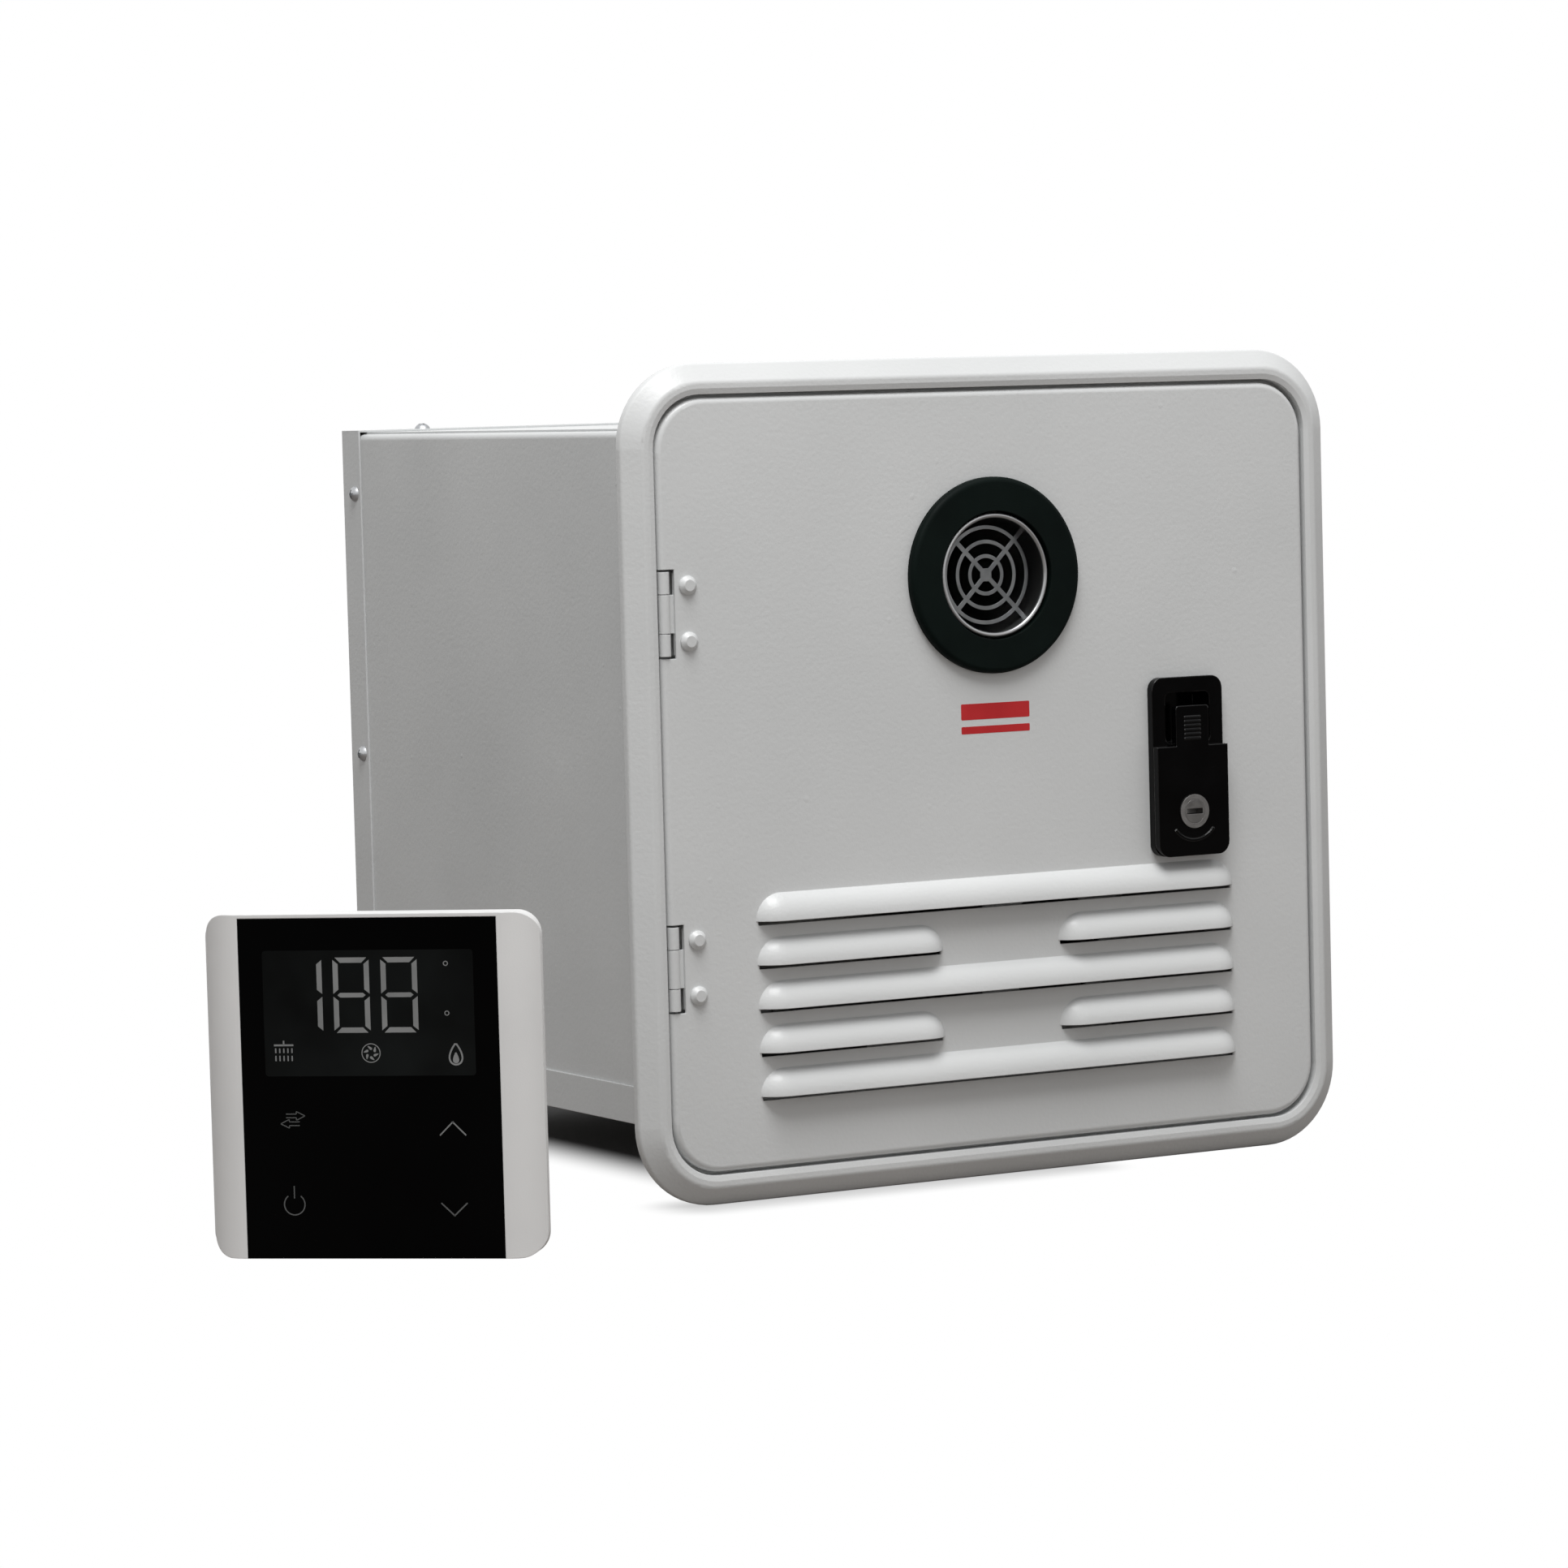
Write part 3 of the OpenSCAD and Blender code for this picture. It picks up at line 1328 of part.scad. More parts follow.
module control_cover() color([0.85, 0.85, 0.82]) {
    hole_w = rocker_w + 2 * rocker_gap;
    hole_h = rocker_h + 4 * rocker_gap;
    mid_x = control_x0 + control_w / 2;
    mid_z = control_z + control_h / 2;
    difference() {
        union() {
            slab(control_y - cover_t, control_y) translate([mid_x, mid_z]) round_rect(control_w, control_h, 4);
            slab(control_y - cover_t - 3, control_y + 3) translate([switch_x, switch_z])
                round_rect(hole_w + 2 * switch_rim, hole_h + 2 * switch_rim, 2);
            // Ribs pressed into the cover
            for (i = [0:3]) slab(control_y - cover_t - 1.2, control_y - cover_t)
                translate([mid_x, control_z + 22 + 16 * i]) round_rect(control_w - 16, 5, 2.4);
        }
        slab(control_y - cover_t - 4, control_y + 4)
            translate([switch_x, switch_z]) square([hole_w, hole_h], center = true);
        bar_x(2 + 2 * run_gap, switch_x - hole_w / 2 - 2, switch_x + hole_w / 2 + 2, rocker_y, switch_z);
    }
}

// Rocker of the power switch, resting on its lower half, with a pin on each side
module rocker_switch() color(black) {
    h = rocker_h / 2;
    translate([switch_x, rocker_y, switch_z]) rotate([rocker_swing / 2, 0, 0]) {
        translate([-rocker_w / 2, 0, 0]) rotate([90, 0, 90]) linear_extrude(rocker_w)
            polygon([[-2.2, -h], [-1.4, 0], [-2.2, h], [2.4, h * 0.8], [2.4, -h * 0.8]]);
        bar_x(2, -rocker_w / 2 - rocker_gap - 1.6, rocker_w / 2 + rocker_gap + 1.6, 0, 0);
    }
}

// Board on four posts, with relays and a capacitor
board_t = 1.6;
board_gap = 8;
relay_w = 19;
relay_h = 18;
relay_d = 16;
relay_pitch = 26;
capacitor_d = 14;
capacitor_h = 20;

module circuit_board() color([0.1, 0.35, 0.2]) {
    x0 = control_x0 + control_t + slip;
    x1 = control_x0 + control_w - control_t - slip;
    z0 = control_z + control_t + slip;
    z1 = control_z + control_h - control_t - slip;
    y = control_y + control_d - control_t - board_gap;
    block([x0, y, z0], [x1, y + board_t, z1]);
    for (x = [x0 + 4, x1 - 4], z = [z0 + 6, z1 - 6]) bar_y(6, y + board_t, y + board_gap, x, z);
    for (i = [0:2])
        block([x0 + 5, y - relay_d, z0 + 14 + relay_pitch * i],
              [x0 + 5 + relay_w, y, z0 + 14 + relay_h + relay_pitch * i]);
    bar_y(capacitor_d, y - capacitor_h, y, x1 - capacitor_d + 2, z1 - 24);
}

// Rubber grommet for the supply lead
grommet_x = 100;
grommet_z = floor_z + 30;
grommet_d = 16;

module cable_grommet() color(black) difference() {
    union() {
        bar_y(grommet_d, panel_end_y - 2, case_d + 2, grommet_x, grommet_z);
        bar_y(grommet_d + 6, case_d, case_d + 3, grommet_x, grommet_z);
        bar_y(grommet_d + 6, panel_end_y - 3, panel_end_y, grommet_x, grommet_z);
    }
    bar_y(grommet_d - 7, panel_end_y - 4, case_d + 4, grommet_x, grommet_z);
}

// Latch

module latch_housing() color(black) {
    cup_z0 = lever_z1 + 1;
    cup_z1 = latch_z1 - cup_border;
    lug_room = 1.1;
    ledge_y = latch_back_y - 2.5;
    difference() {
        translate([latch_x, 0, latch_z]) {
            slab(bezel_y, door_y) round_rect(latch_w, latch_h, latch_r);
            slab(door_y, latch_back_y) round_rect(latch_body_w, latch_body_h, 4);
        }
        // Finger cup, lock window, pockets for the lever's lugs and the pin's bore
        slab(bezel_y - 1, bezel_y + cup_depth) translate([latch_x, (cup_z0 + cup_z1) / 2])
            round_rect(latch_w - 2 * cup_border, cup_z1 - cup_z0, 3);
        difference() {
            block([latch_x - window_w / 2, bezel_y - 1, window_z0], [latch_x + window_w / 2, latch_back_y + 1, window_z1]);
            block([latch_x + cam_reach - 3, ledge_y, lock_axis_z - 6], [latch_x + window_w, latch_back_y, lock_axis_z + 6]);
        }
        for (s = [-1, 1])
            block([latch_x + s * lug_x - lug_w / 2 - move_gap, bezel_y - 1, pivot_z - lug_r - lug_room],
                  [latch_x + s * lug_x + lug_w / 2 + move_gap, pivot_y + lug_r + move_gap, pivot_z + lug_r + lug_room]);
        bar_x(lever_pin_d + run_gap, latch_x - 15, latch_x + 15, pivot_y, pivot_z);
    }
}

module lever_pin() color(steel) bar_x(lever_pin_d, latch_x - 14.5, latch_x + 14.5, pivot_y, pivot_z);

// Lever: plate with a thumb tongue, thinned below its pin so that it swings clear of the bezel
module latch_lever() color(black) {
    front_y = lever_y - lever_t;
    top_z = lever_z1 + tongue_h;
    slant = 0.47;
    patch_w = 9;
    difference() {
        union() {
            intersection() {
                slab(front_y, lever_y) translate([latch_x, 0]) {
                    translate([0, latch_z0 + lever_h / 2]) round_rect(latch_w, lever_h, latch_r);
                    translate([-latch_w / 2, lever_z1 - 10]) square([latch_w, 10]);
                    translate([0, lever_z1 + tongue_h / 2 - 2]) round_rect(tongue_w, tongue_h + 4, 1.5);
                }
                translate([latch_x - latch_w, 0, 0]) rotate([90, 0, 90]) linear_extrude(2 * latch_w) polygon([
                    [front_y - 1, latch_z0 - 1],
                    [lever_y - slant * (pivot_z + 3 - latch_z0), latch_z0 - 1],
                    [lever_y + slant * 2, pivot_z + 4],
                    [lever_y + slant * 2, top_z + 5],
                    [front_y - 1, top_z + 5]
                ]);
            }
            for (s = [-1, 1]) translate([latch_x + s * lug_x - lug_w / 2, 0, 0]) {
                bar_x(2 * lug_r, 0, lug_w, pivot_y, pivot_z);
                block([0, lever_y - lever_t / 2, pivot_z - lug_r * 0.7], [lug_w, pivot_y, pivot_z + lug_r * 0.7]);
            }
            // Ribs of the thumb patch
            for (i = [0:5])
                bar_x(1, latch_x - patch_w / 2, latch_x + patch_w / 2, front_y, lever_z1 + 3.5 + 2 * i);
            // Moulded arc below the lock
            upright(front_y) translate([latch_x, lock_axis_z]) rotate(218)
                rotate_extrude(angle = 104) translate([13, -0.5]) square([1.2, 1.1]);
        }
        bar_y(barrel_d + 2 * run_gap, front_y - 2, lever_y + 1, latch_x, lock_axis_z);
        bar_x(lever_pin_d + 2 * run_gap, latch_x - 16, latch_x + 16, pivot_y, pivot_z);
    }
}

module lock_barrel() color(zinc) difference() {
    union() {
        bar_y(barrel_d, lever_y - lever_t - barrel_proud, barrel_end_y, latch_x, lock_axis_z);
        translate([latch_x, lever_y, lock_axis_z]) rotate([-90, 0, 0]) cylinder(d = barrel_d + 4, h = 3);
    }
    bar_y(plug_d + 2 * run_gap, lever_y - lever_t - 2, barrel_end_y + 1, latch_x, lock_axis_z);
}

// Plug with a level keyway, and a square tail for the cam
module lock_plug() color(zinc) {
    face_y = lever_y - lever_t - barrel_proud;
    difference() {
        bar_y(plug_d, face_y, barrel_end_y, latch_x, lock_axis_z);
        block([latch_x - 4.4, face_y - 1, lock_axis_z - 1.3], [latch_x + 4.4, face_y + 6, lock_axis_z + 1.3]);
    }
    translate([latch_x - 2.5, barrel_end_y, lock_axis_z - 2.5]) cube([5, latch_back_y + move_gap + cam_t - barrel_end_y, 5]);
}

module lock_cam() color(zinc) {
    y0 = latch_back_y + move_gap;
    slab(y0, y0 + cam_t) translate([latch_x, lock_axis_z]) difference() {
        union() {
            circle(cam_w / 2 + 1);
            translate([-cam_w / 2, 0]) square([cam_w, cam_reach]);
        }
        square(5 + 2 * run_gap, center = true);
    }
}

// Sliding bolt behind the latch, with a nose towards the frame's lip
module latch_bolt() color(zinc) {
    nose_x = guide_x + guide_w + bolt_nose;
    nose_y = move_gap - seat_depth;
    translate([0, 0, bolt_z - bolt_w / 2]) linear_extrude(bolt_w) polygon([
        [latch_x - 10, bolt_y], [nose_x, bolt_y], [nose_x, nose_y], [bolt_tip_x, nose_y],
        [bolt_tip_x, nose_y + 1.5], [bolt_tip_x - 5, bolt_y + bolt_t], [latch_x - 10, bolt_y + bolt_t]
    ]);
}

// Bracket on the back of the door that carries the bolt
module bolt_guide() color(zinc) {
    h = bolt_w / 2 + move_gap;
    y1 = bolt_y + bolt_t + move_gap;
    difference() {
        block([guide_x, skin_y, bolt_z - h - guide_t], [guide_x + guide_w, y1 + guide_t, bolt_z + h + guide_t]);
        block([guide_x - 1, skin_y + guide_t, bolt_z - h], [guide_x + guide_w + 1, y1, bolt_z + h]);
    }
}

// Wall controller

// Moves a controller piece to its place: its own Y runs from the face to the wall
module at_controller() {
    translate([remote_x, remote_y, remote_z]) rotate(remote_turn) children();
}

module controller_shell() color("white") at_controller() {
    glass_h = remote_h - glass_top;
    difference() {
        intersection() {
            slab(0, shell_d) translate([0, remote_h / 2]) round_rect(remote_w, remote_h, remote_r);
            linear_extrude(remote_h) {
                translate([-glass_w / 2, 0]) square([glass_w, shell_d]);
                for (s = [-1, 1]) translate([s * glass_w / 2, cheek_r]) intersection() {
                    circle(cheek_r);
                    translate([s > 0 ? 0 : -cheek_w, -cheek_r]) square([cheek_w, cheek_r]);
                }
                for (s = [-1, 1]) translate([s > 0 ? glass_w / 2 : -remote_w / 2, cheek_r - 8.6])
                    square([cheek_w, shell_d - cheek_r + 8.6]);
            }
        }
        translate([-glass_w / 2, -1, -1]) cube([glass_w, glass_t + 1, glass_h + 1]);
        slab(glass_t + shell_wall, shell_d + 1) translate([0, remote_h / 2])
            square([glass_w, remote_h - 2 * remote_r], center = true);
    }
}

module controller_glass() color(black) at_controller()
    translate([-glass_w / 2 + slip / 2, 0, 0]) cube([glass_w - slip, glass_t, remote_h - glass_top - slip / 2]);

module controller_back() color("white") at_controller() difference() {
    slab(shell_d, remote_t) translate([0, remote_h / 2]) round_rect(remote_w - 3, remote_h - 3, remote_r - 1.5);
    for (s = [-1, 1]) bar_y(4.4, shell_d - 1, remote_t + 1, s * back_hole_pitch / 2, remote_h / 2);
}

wall_frame();
opening_seal();
frame_hinge_leaves();
hinge_pins();
side_panel_left();
side_panel_right();
top_panel();
base_pan();
rear_panel();
case_screws();
exhaust_tube();
flue_grille();
flue_hood();
heat_exchanger();
exchanger_tubes();
combustion_chamber();
burner_tray();
burner_bars();
gas_manifold();
gas_valve();
valve_coils();
gas_inlet_pipe();
spark_generator();
electrodes();
sight_glass();
blower_housing();
blower_motor();
air_duct();
cold_inlet();
cold_pipe();
relief_valve();
flow_sensor();
cold_riser();
hot_pipe();
hot_outlet();
thermal_cutouts();
control_box();
control_cover();
circuit_board();
cable_grommet();
controller_back();
controller_shell();
controller_glass();
door_panel();
flue_ring();
door_hinge_leaves();
hinge_rivets();
latch_housing();
lever_pin();
bolt_guide();
latch_lever();
lock_barrel();
lock_plug();
lock_cam();
latch_bolt();
impeller();
rocker_switch();
relief_lever();
flow_turbine();
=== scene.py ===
# %% [markdown]
# # Caravan water heater
# A gas water heater that is built into a caravan's wall: a painted steel casing behind the wall, a
# square frame around the hole, and a hinged door with louvres, a flue outlet and a locking latch. Its
# wall controller stands beside it. The solids come from the CAD model, so this lesson adds what CAD
# doesn't give: the view, the light, the finishes, and the small printed, screwed and threaded details.

# %% Load the solids
import bpy
import math
from mathutils import Matrix, Vector


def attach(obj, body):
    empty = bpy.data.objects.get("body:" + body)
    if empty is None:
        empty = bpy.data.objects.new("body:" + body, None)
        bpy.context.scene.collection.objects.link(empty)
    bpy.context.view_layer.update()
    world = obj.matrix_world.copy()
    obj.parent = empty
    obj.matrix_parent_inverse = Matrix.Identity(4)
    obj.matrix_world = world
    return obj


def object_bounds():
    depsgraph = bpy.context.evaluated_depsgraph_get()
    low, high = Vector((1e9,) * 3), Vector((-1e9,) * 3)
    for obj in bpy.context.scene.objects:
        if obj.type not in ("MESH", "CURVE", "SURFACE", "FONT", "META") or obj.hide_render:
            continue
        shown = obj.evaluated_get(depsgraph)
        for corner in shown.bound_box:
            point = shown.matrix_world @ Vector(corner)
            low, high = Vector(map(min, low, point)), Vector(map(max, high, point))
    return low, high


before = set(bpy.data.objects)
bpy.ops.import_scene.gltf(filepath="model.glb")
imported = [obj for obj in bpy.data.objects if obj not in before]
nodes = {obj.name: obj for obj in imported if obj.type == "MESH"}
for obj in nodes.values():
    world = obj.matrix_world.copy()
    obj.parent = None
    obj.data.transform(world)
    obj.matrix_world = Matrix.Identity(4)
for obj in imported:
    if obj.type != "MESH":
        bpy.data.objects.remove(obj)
cad_lo, cad_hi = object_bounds()
bpy.ops.object.select_all(action="DESELECT")
scene = bpy.context.scene
print(len(nodes), "solids, box", [round(v, 4) for v in cad_lo], [round(v, 4) for v in cad_hi])

# %% [markdown]
# ## The camera
# A camera could be turned by hand until the picture looks right. Here its place was solved from the
# frame's and the casing's straight edges, so its three axes are known and go straight into its matrix.
# A long lens keeps the upright edges almost parallel.

# %% Camera from its own axes
MM = 0.001
LENS, SENSOR = 129.78, 36.0
VIEW_PLACE = (-1.3787, -2.2334, 0.1793)
view_right = Vector((0.86803, -0.49581, -0.02651))
view_up = Vector((0.05783, 0.04792, 0.99718))
view_back = view_right.cross(view_up)
camera_data = bpy.data.cameras.new("view")
camera_data.lens = LENS
camera_data.sensor_width = SENSOR
camera = bpy.data.objects.new("view", camera_data)
scene.collection.objects.link(camera)
view_axes = Matrix((view_right, view_up, view_back)).transposed().to_4x4()
camera.matrix_world = Matrix.Translation(VIEW_PLACE) @ view_axes
scene.camera = camera
scene.view_settings.view_transform = "Standard"
print("camera looks along", [round(v, 3) for v in -view_back])

# %% [markdown]
# ## Light
# The heater stands in soft light from above and a little from the front left, so tops are brighter than
# the front and the front is brighter than the side. One large lamp overhead gives that. The world is
# white to the eye, to glossy metal and to glass, and dim as a lamp, so that pale paint doesn't burn
# out.

# %% World and lamps
SKY_LIGHT = 0.43
world = bpy.data.worlds.new("studio")
scene.world = world
world.use_nodes = True
sky = world.node_tree
sky.nodes.clear()
rays = sky.nodes.new("ShaderNodeLightPath")
seen = sky.nodes.new("ShaderNodeMath")
seen.operation = "MAXIMUM"
seen_too = sky.nodes.new("ShaderNodeMath")
seen_too.operation = "MAXIMUM"
dim = sky.nodes.new("ShaderNodeBackground")
dim.inputs["Color"].default_value = (1.0, 1.0, 1.0, 1.0)
dim.inputs["Strength"].default_value = SKY_LIGHT
white = sky.nodes.new("ShaderNodeBackground")
white.inputs["Color"].default_value = (1.0, 1.0, 1.0, 1.0)
white.inputs["Strength"].default_value = 1.0
choose = sky.nodes.new("ShaderNodeMixShader")
out = sky.nodes.new("ShaderNodeOutputWorld")
sky.links.new(rays.outputs["Is Camera Ray"], seen.inputs[0])
sky.links.new(rays.outputs["Is Glossy Ray"], seen.inputs[1])
sky.links.new(seen.outputs[0], seen_too.inputs[0])
sky.links.new(rays.outputs["Is Transmission Ray"], seen_too.inputs[1])
sky.links.new(seen_too.outputs[0], choose.inputs["Fac"])
sky.links.new(dim.outputs[0], choose.inputs[1])
sky.links.new(white.outputs[0], choose.inputs[2])
sky.links.new(choose.outputs[0], out.inputs["Surface"])


def soft_box(name, place, target, size, power):
    lamp_data = bpy.data.lights.new(name, "AREA")
    lamp_data.shape = "SQUARE"
    lamp_data.size = size
    lamp_data.energy = power
    lamp = bpy.data.objects.new(name, lamp_data)
    scene.collection.objects.link(lamp)
    lamp.location = place
    lamp.rotation_euler = (Vector(target) - Vector(place)).to_track_quat("-Z", "Y").to_euler()
    return lamp


soft_box("lamp_above", place=(-0.45, -0.80, 2.10), target=(0.0, 0.0, 0.0), size=1.3, power=50.0)

# %% [markdown]
# ## Helpers for the finishes
# Every finish starts from the Principled shader and reads Object coordinates, so its pattern stays
# where it is on the piece. Colour, gloss and surface relief each follow a noise of their own size: that
# is what makes paint, metal and rubber look different even where their colours are close.

# %% Small building blocks for shaders
EDGE_SAMPLES = 6
EDGE_STARTS = 0.90
GLOSS_FINER = 2.3
GRAIN_DETAIL = 2.0


def new_finish(name, metallic=0.0, specular=0.5):
    finish = bpy.data.materials.new(name)
    finish.use_nodes = True
    tree = finish.node_tree
    shader = tree.nodes["Principled BSDF"]
    shader.inputs["Metallic"].default_value = metallic
    shader.inputs["Specular IOR Level"].default_value = specular
    place = tree.nodes.new("ShaderNodeTexCoord").outputs["Object"]
    return finish, tree, shader, place


def cloud(tree, place, scale, detail=3.0, stretch=None):
    if stretch:
        turn = tree.nodes.new("ShaderNodeMapping")
        turn.inputs["Scale"].default_value = stretch
        tree.links.new(place, turn.inputs["Vector"])
        place = turn.outputs["Vector"]
    noise = tree.nodes.new("ShaderNodeTexNoise")
    noise.inputs["Scale"].default_value = scale
    noise.inputs["Detail"].default_value = detail
    tree.links.new(place, noise.inputs["Vector"])
    return noise.outputs["Fac"]


def spread(tree, value, low, high, start=0.3, end=0.7):
    span = tree.nodes.new("ShaderNodeMapRange")
    span.inputs["From Min"].default_value = start
    span.inputs["From Max"].default_value = end
    span.inputs["To Min"].default_value = low
    span.inputs["To Max"].default_value = high
    tree.links.new(value, span.inputs["Value"])
    return span.outputs["Result"]


def two_tones(tree, shader, value, tone_a, tone_b, start=0.35, end=0.65):
    ramp = tree.nodes.new("ShaderNodeValToRGB")
    ramp.color_ramp.elements[0].position = start
    ramp.color_ramp.elements[1].position = end
    ramp.color_ramp.elements[0].color = (*tone_a, 1.0)
    ramp.color_ramp.elements[1].color = (*tone_b, 1.0)
    tree.links.new(value, ramp.inputs["Fac"])
    tree.links.new(ramp.outputs["Color"], shader.inputs["Base Color"])


def soft_edge(tree, radius):
    rounded = tree.nodes.new("ShaderNodeBevel")
    rounded.samples = EDGE_SAMPLES
    rounded.inputs["Radius"].default_value = radius
    return rounded.outputs["Normal"]


def shining_edges(tree, shader, radius, flat_level, edge_level):
    """Edges reflect more than flats: an edge is where the rounded normal turns away from the true one."""
    turned = tree.nodes.new("ShaderNodeVectorMath")
    turned.operation = "DOT_PRODUCT"
    tree.links.new(soft_edge(tree, radius), turned.inputs[0])
    tree.links.new(tree.nodes.new("ShaderNodeNewGeometry").outputs["Normal"], turned.inputs[1])
    level = spread(tree, turned.outputs["Value"], edge_level, flat_level, EDGE_STARTS, 1.0)
    tree.links.new(level, shader.inputs["Specular IOR Level"])


def relief(tree, shader, value, depth, edge=0.0):
    bump = tree.nodes.new("ShaderNodeBump")
    bump.inputs["Strength"].default_value = 1.0
    bump.inputs["Distance"].default_value = depth
    if edge:
        tree.links.new(soft_edge(tree, edge), bump.inputs["Normal"])
    tree.links.new(value, bump.inputs["Height"])
    tree.links.new(bump.outputs["Normal"], shader.inputs["Normal"])


def plain_finish(name, tone_a, tone_b, gloss, grain, depth, metallic=0.0, specular=0.5, stretch=None,
                 blotch=18.0, edge=0.0):
    """Two close tones in soft blotches, gloss that varies, a fine grain, and edges that catch the light."""
    finish, tree, shader, place = new_finish(name, metallic, specular)
    two_tones(tree, shader, cloud(tree, place, blotch), tone_a, tone_b)
    gloss_value = spread(tree, cloud(tree, place, blotch * GLOSS_FINER), *gloss)
    tree.links.new(gloss_value, shader.inputs["Roughness"])
    relief(tree, shader, cloud(tree, place, grain, GRAIN_DETAIL, stretch), depth, edge)
    return finish


print("helpers ready")

# %% [markdown]
# ## Powder-coated sheet
# Frame, door and casing are steel sheet with a baked white-grey powder coat. Such a coat is slightly
# rippled like orange peel, and has a few pimples where dust was caught under it. A fine noise makes the
# ripple, and a Voronoi pattern cut off close to its cell centres makes single pimples.

# %% Powder coat
def powder_coat(name, tone_a, tone_b, pimples):
    finish, tree, shader, place = new_finish(name, specular=0.42)
    two_tones(tree, shader, cloud(tree, place, scale=7.0), tone_a, tone_b)
    gloss_value = spread(tree, cloud(tree, place, scale=22.0), low=0.28, high=0.38)
    tree.links.new(gloss_value, shader.inputs["Roughness"])
    ripple = cloud(tree, place, scale=520.0, detail=1.0)
    peel = spread(tree, ripple, low=0.0, high=0.5, start=0.2, end=0.8)
    cells = tree.nodes.new("ShaderNodeTexVoronoi")
    cells.inputs["Scale"].default_value = pimples
    tree.links.new(place, cells.inputs["Vector"])
    dot = spread(tree, cells.outputs["Distance"], low=1.0, high=0.0, start=0.0, end=0.055)
    both = tree.nodes.new("ShaderNodeMath")
    both.operation = "ADD"
    tree.links.new(peel, both.inputs[0])
    tree.links.new(dot, both.inputs[1])
    relief(tree, shader, both.outputs[0], depth=0.00009, edge=0.0005)
    return finish


coat = powder_coat("powder_coat", (0.655, 0.666, 0.666), (0.70, 0.71, 0.71), pimples=34.0)
coat_case = powder_coat("powder_coat_casing", (0.605, 0.617, 0.618), (0.66, 0.671, 0.671), pimples=46.0)
print("powder coats", coat.name, coat_case.name)

# %% [markdown]
# ## Metals
# The flue tube is stainless steel, rolled round, and its grille is given a darker steel tone than the tube.
# Screws and hinge pins are zinc plated, with a cloudy bluish bloom. Inside there are copper pipes, brass
# fittings, aluminised sheet around the flame, and a cast gas valve. Metal gets its colour from the
# reflection, so the tones are bright and the gloss does the work.

# %% Steel, zinc, copper, brass and aluminium
stainless = plain_finish(
    "stainless", (0.36, 0.365, 0.37), (0.46, 0.465, 0.47), gloss=(0.28, 0.38), grain=300.0,
    depth=0.000006, metallic=1.0, stretch=(1.0, 0.04, 1.0))
grille_steel = plain_finish(
    "grille_steel", (0.17, 0.176, 0.18), (0.24, 0.247, 0.25), gloss=(0.30, 0.42), grain=900.0,
    depth=0.00002, metallic=1.0, blotch=120.0, edge=0.0003)
zinc = plain_finish(
    "zinc_plate", (0.40, 0.41, 0.425), (0.52, 0.53, 0.54), gloss=(0.28, 0.44), grain=1400.0,
    depth=0.00002, metallic=1.0, blotch=140.0)
lock_metal = plain_finish(
    "lock_metal", (0.17, 0.165, 0.16), (0.23, 0.225, 0.22), gloss=(0.34, 0.46), grain=2200.0,
    depth=0.00002, metallic=1.0, blotch=220.0, edge=0.0003)
keyway = plain_finish(
    "keyway", (0.15, 0.147, 0.143), (0.20, 0.196, 0.19), gloss=(0.30, 0.42), grain=2200.0,
    depth=0.00002, metallic=1.0, blotch=260.0, edge=0.0003)
copper = plain_finish(
    "copper", (0.62, 0.31, 0.19), (0.78, 0.44, 0.30), gloss=(0.34, 0.46), grain=260.0, depth=0.00001,
    metallic=1.0, blotch=26.0)
brass = plain_finish(
    "brass", (0.62, 0.45, 0.19), (0.74, 0.57, 0.28), gloss=(0.30, 0.42), grain=300.0, depth=0.00001,
    metallic=1.0, blotch=60.0)
flame_sheet = plain_finish(
    "aluminised_sheet", (0.46, 0.46, 0.46), (0.58, 0.58, 0.57), gloss=(0.34, 0.50), grain=380.0,
    depth=0.00004, metallic=1.0, blotch=30.0)
burner_steel = plain_finish(
    "burner_steel", (0.40, 0.38, 0.36), (0.54, 0.51, 0.48), gloss=(0.34, 0.48), grain=500.0,
    depth=0.00004, metallic=1.0, blotch=24.0)
cast_metal = plain_finish(
    "cast_metal", (0.44, 0.45, 0.46), (0.54, 0.55, 0.55), gloss=(0.42, 0.56), grain=620.0,
    depth=0.00012, metallic=1.0, blotch=50.0)
print("metals", [m.name for m in (stainless, grille_steel, zinc, copper, brass, cast_metal)])

# %% [markdown]
# ## Rubber, plastics and glass
# The ring around the flue is matt silicone rubber, nearly black with a green cast. The latch is glossy
# black moulding. The controller has a satin white shell and a black glass front that reflects very
# little. Inside, the control box is pale grey plastic and the coils, the motor and the sensor are
# black.

# %% Rubber, plastic, glass and ceramic
ring_rubber = plain_finish(
    "ring_rubber", (0.0010, 0.0032, 0.0026), (0.0022, 0.0055, 0.0045), gloss=(0.50, 0.66), grain=1500.0,
    depth=0.00004, specular=0.07, blotch=40.0, edge=0.0006)
seal_foam = plain_finish(
    "seal_foam", (0.018, 0.018, 0.019), (0.036, 0.036, 0.037), gloss=(0.82, 0.95), grain=900.0,
    depth=0.0004, specular=0.2, blotch=90.0)
latch_black = plain_finish(
    "latch_black", (0.0008, 0.0008, 0.0009), (0.0016, 0.0016, 0.0018), gloss=(0.07, 0.13), grain=900.0,
    depth=0.000004, specular=0.12, blotch=30.0, edge=0.0007)
inner_black = plain_finish(
    "inner_black", (0.016, 0.016, 0.017), (0.030, 0.030, 0.032), gloss=(0.40, 0.55), grain=1300.0,
    depth=0.00005, specular=0.4, blotch=40.0)
shell_white = plain_finish(
    "shell_white", (0.81, 0.81, 0.805), (0.85, 0.85, 0.845), gloss=(0.34, 0.44), grain=1700.0,
    depth=0.00003, specular=0.45, blotch=20.0, edge=0.0006)
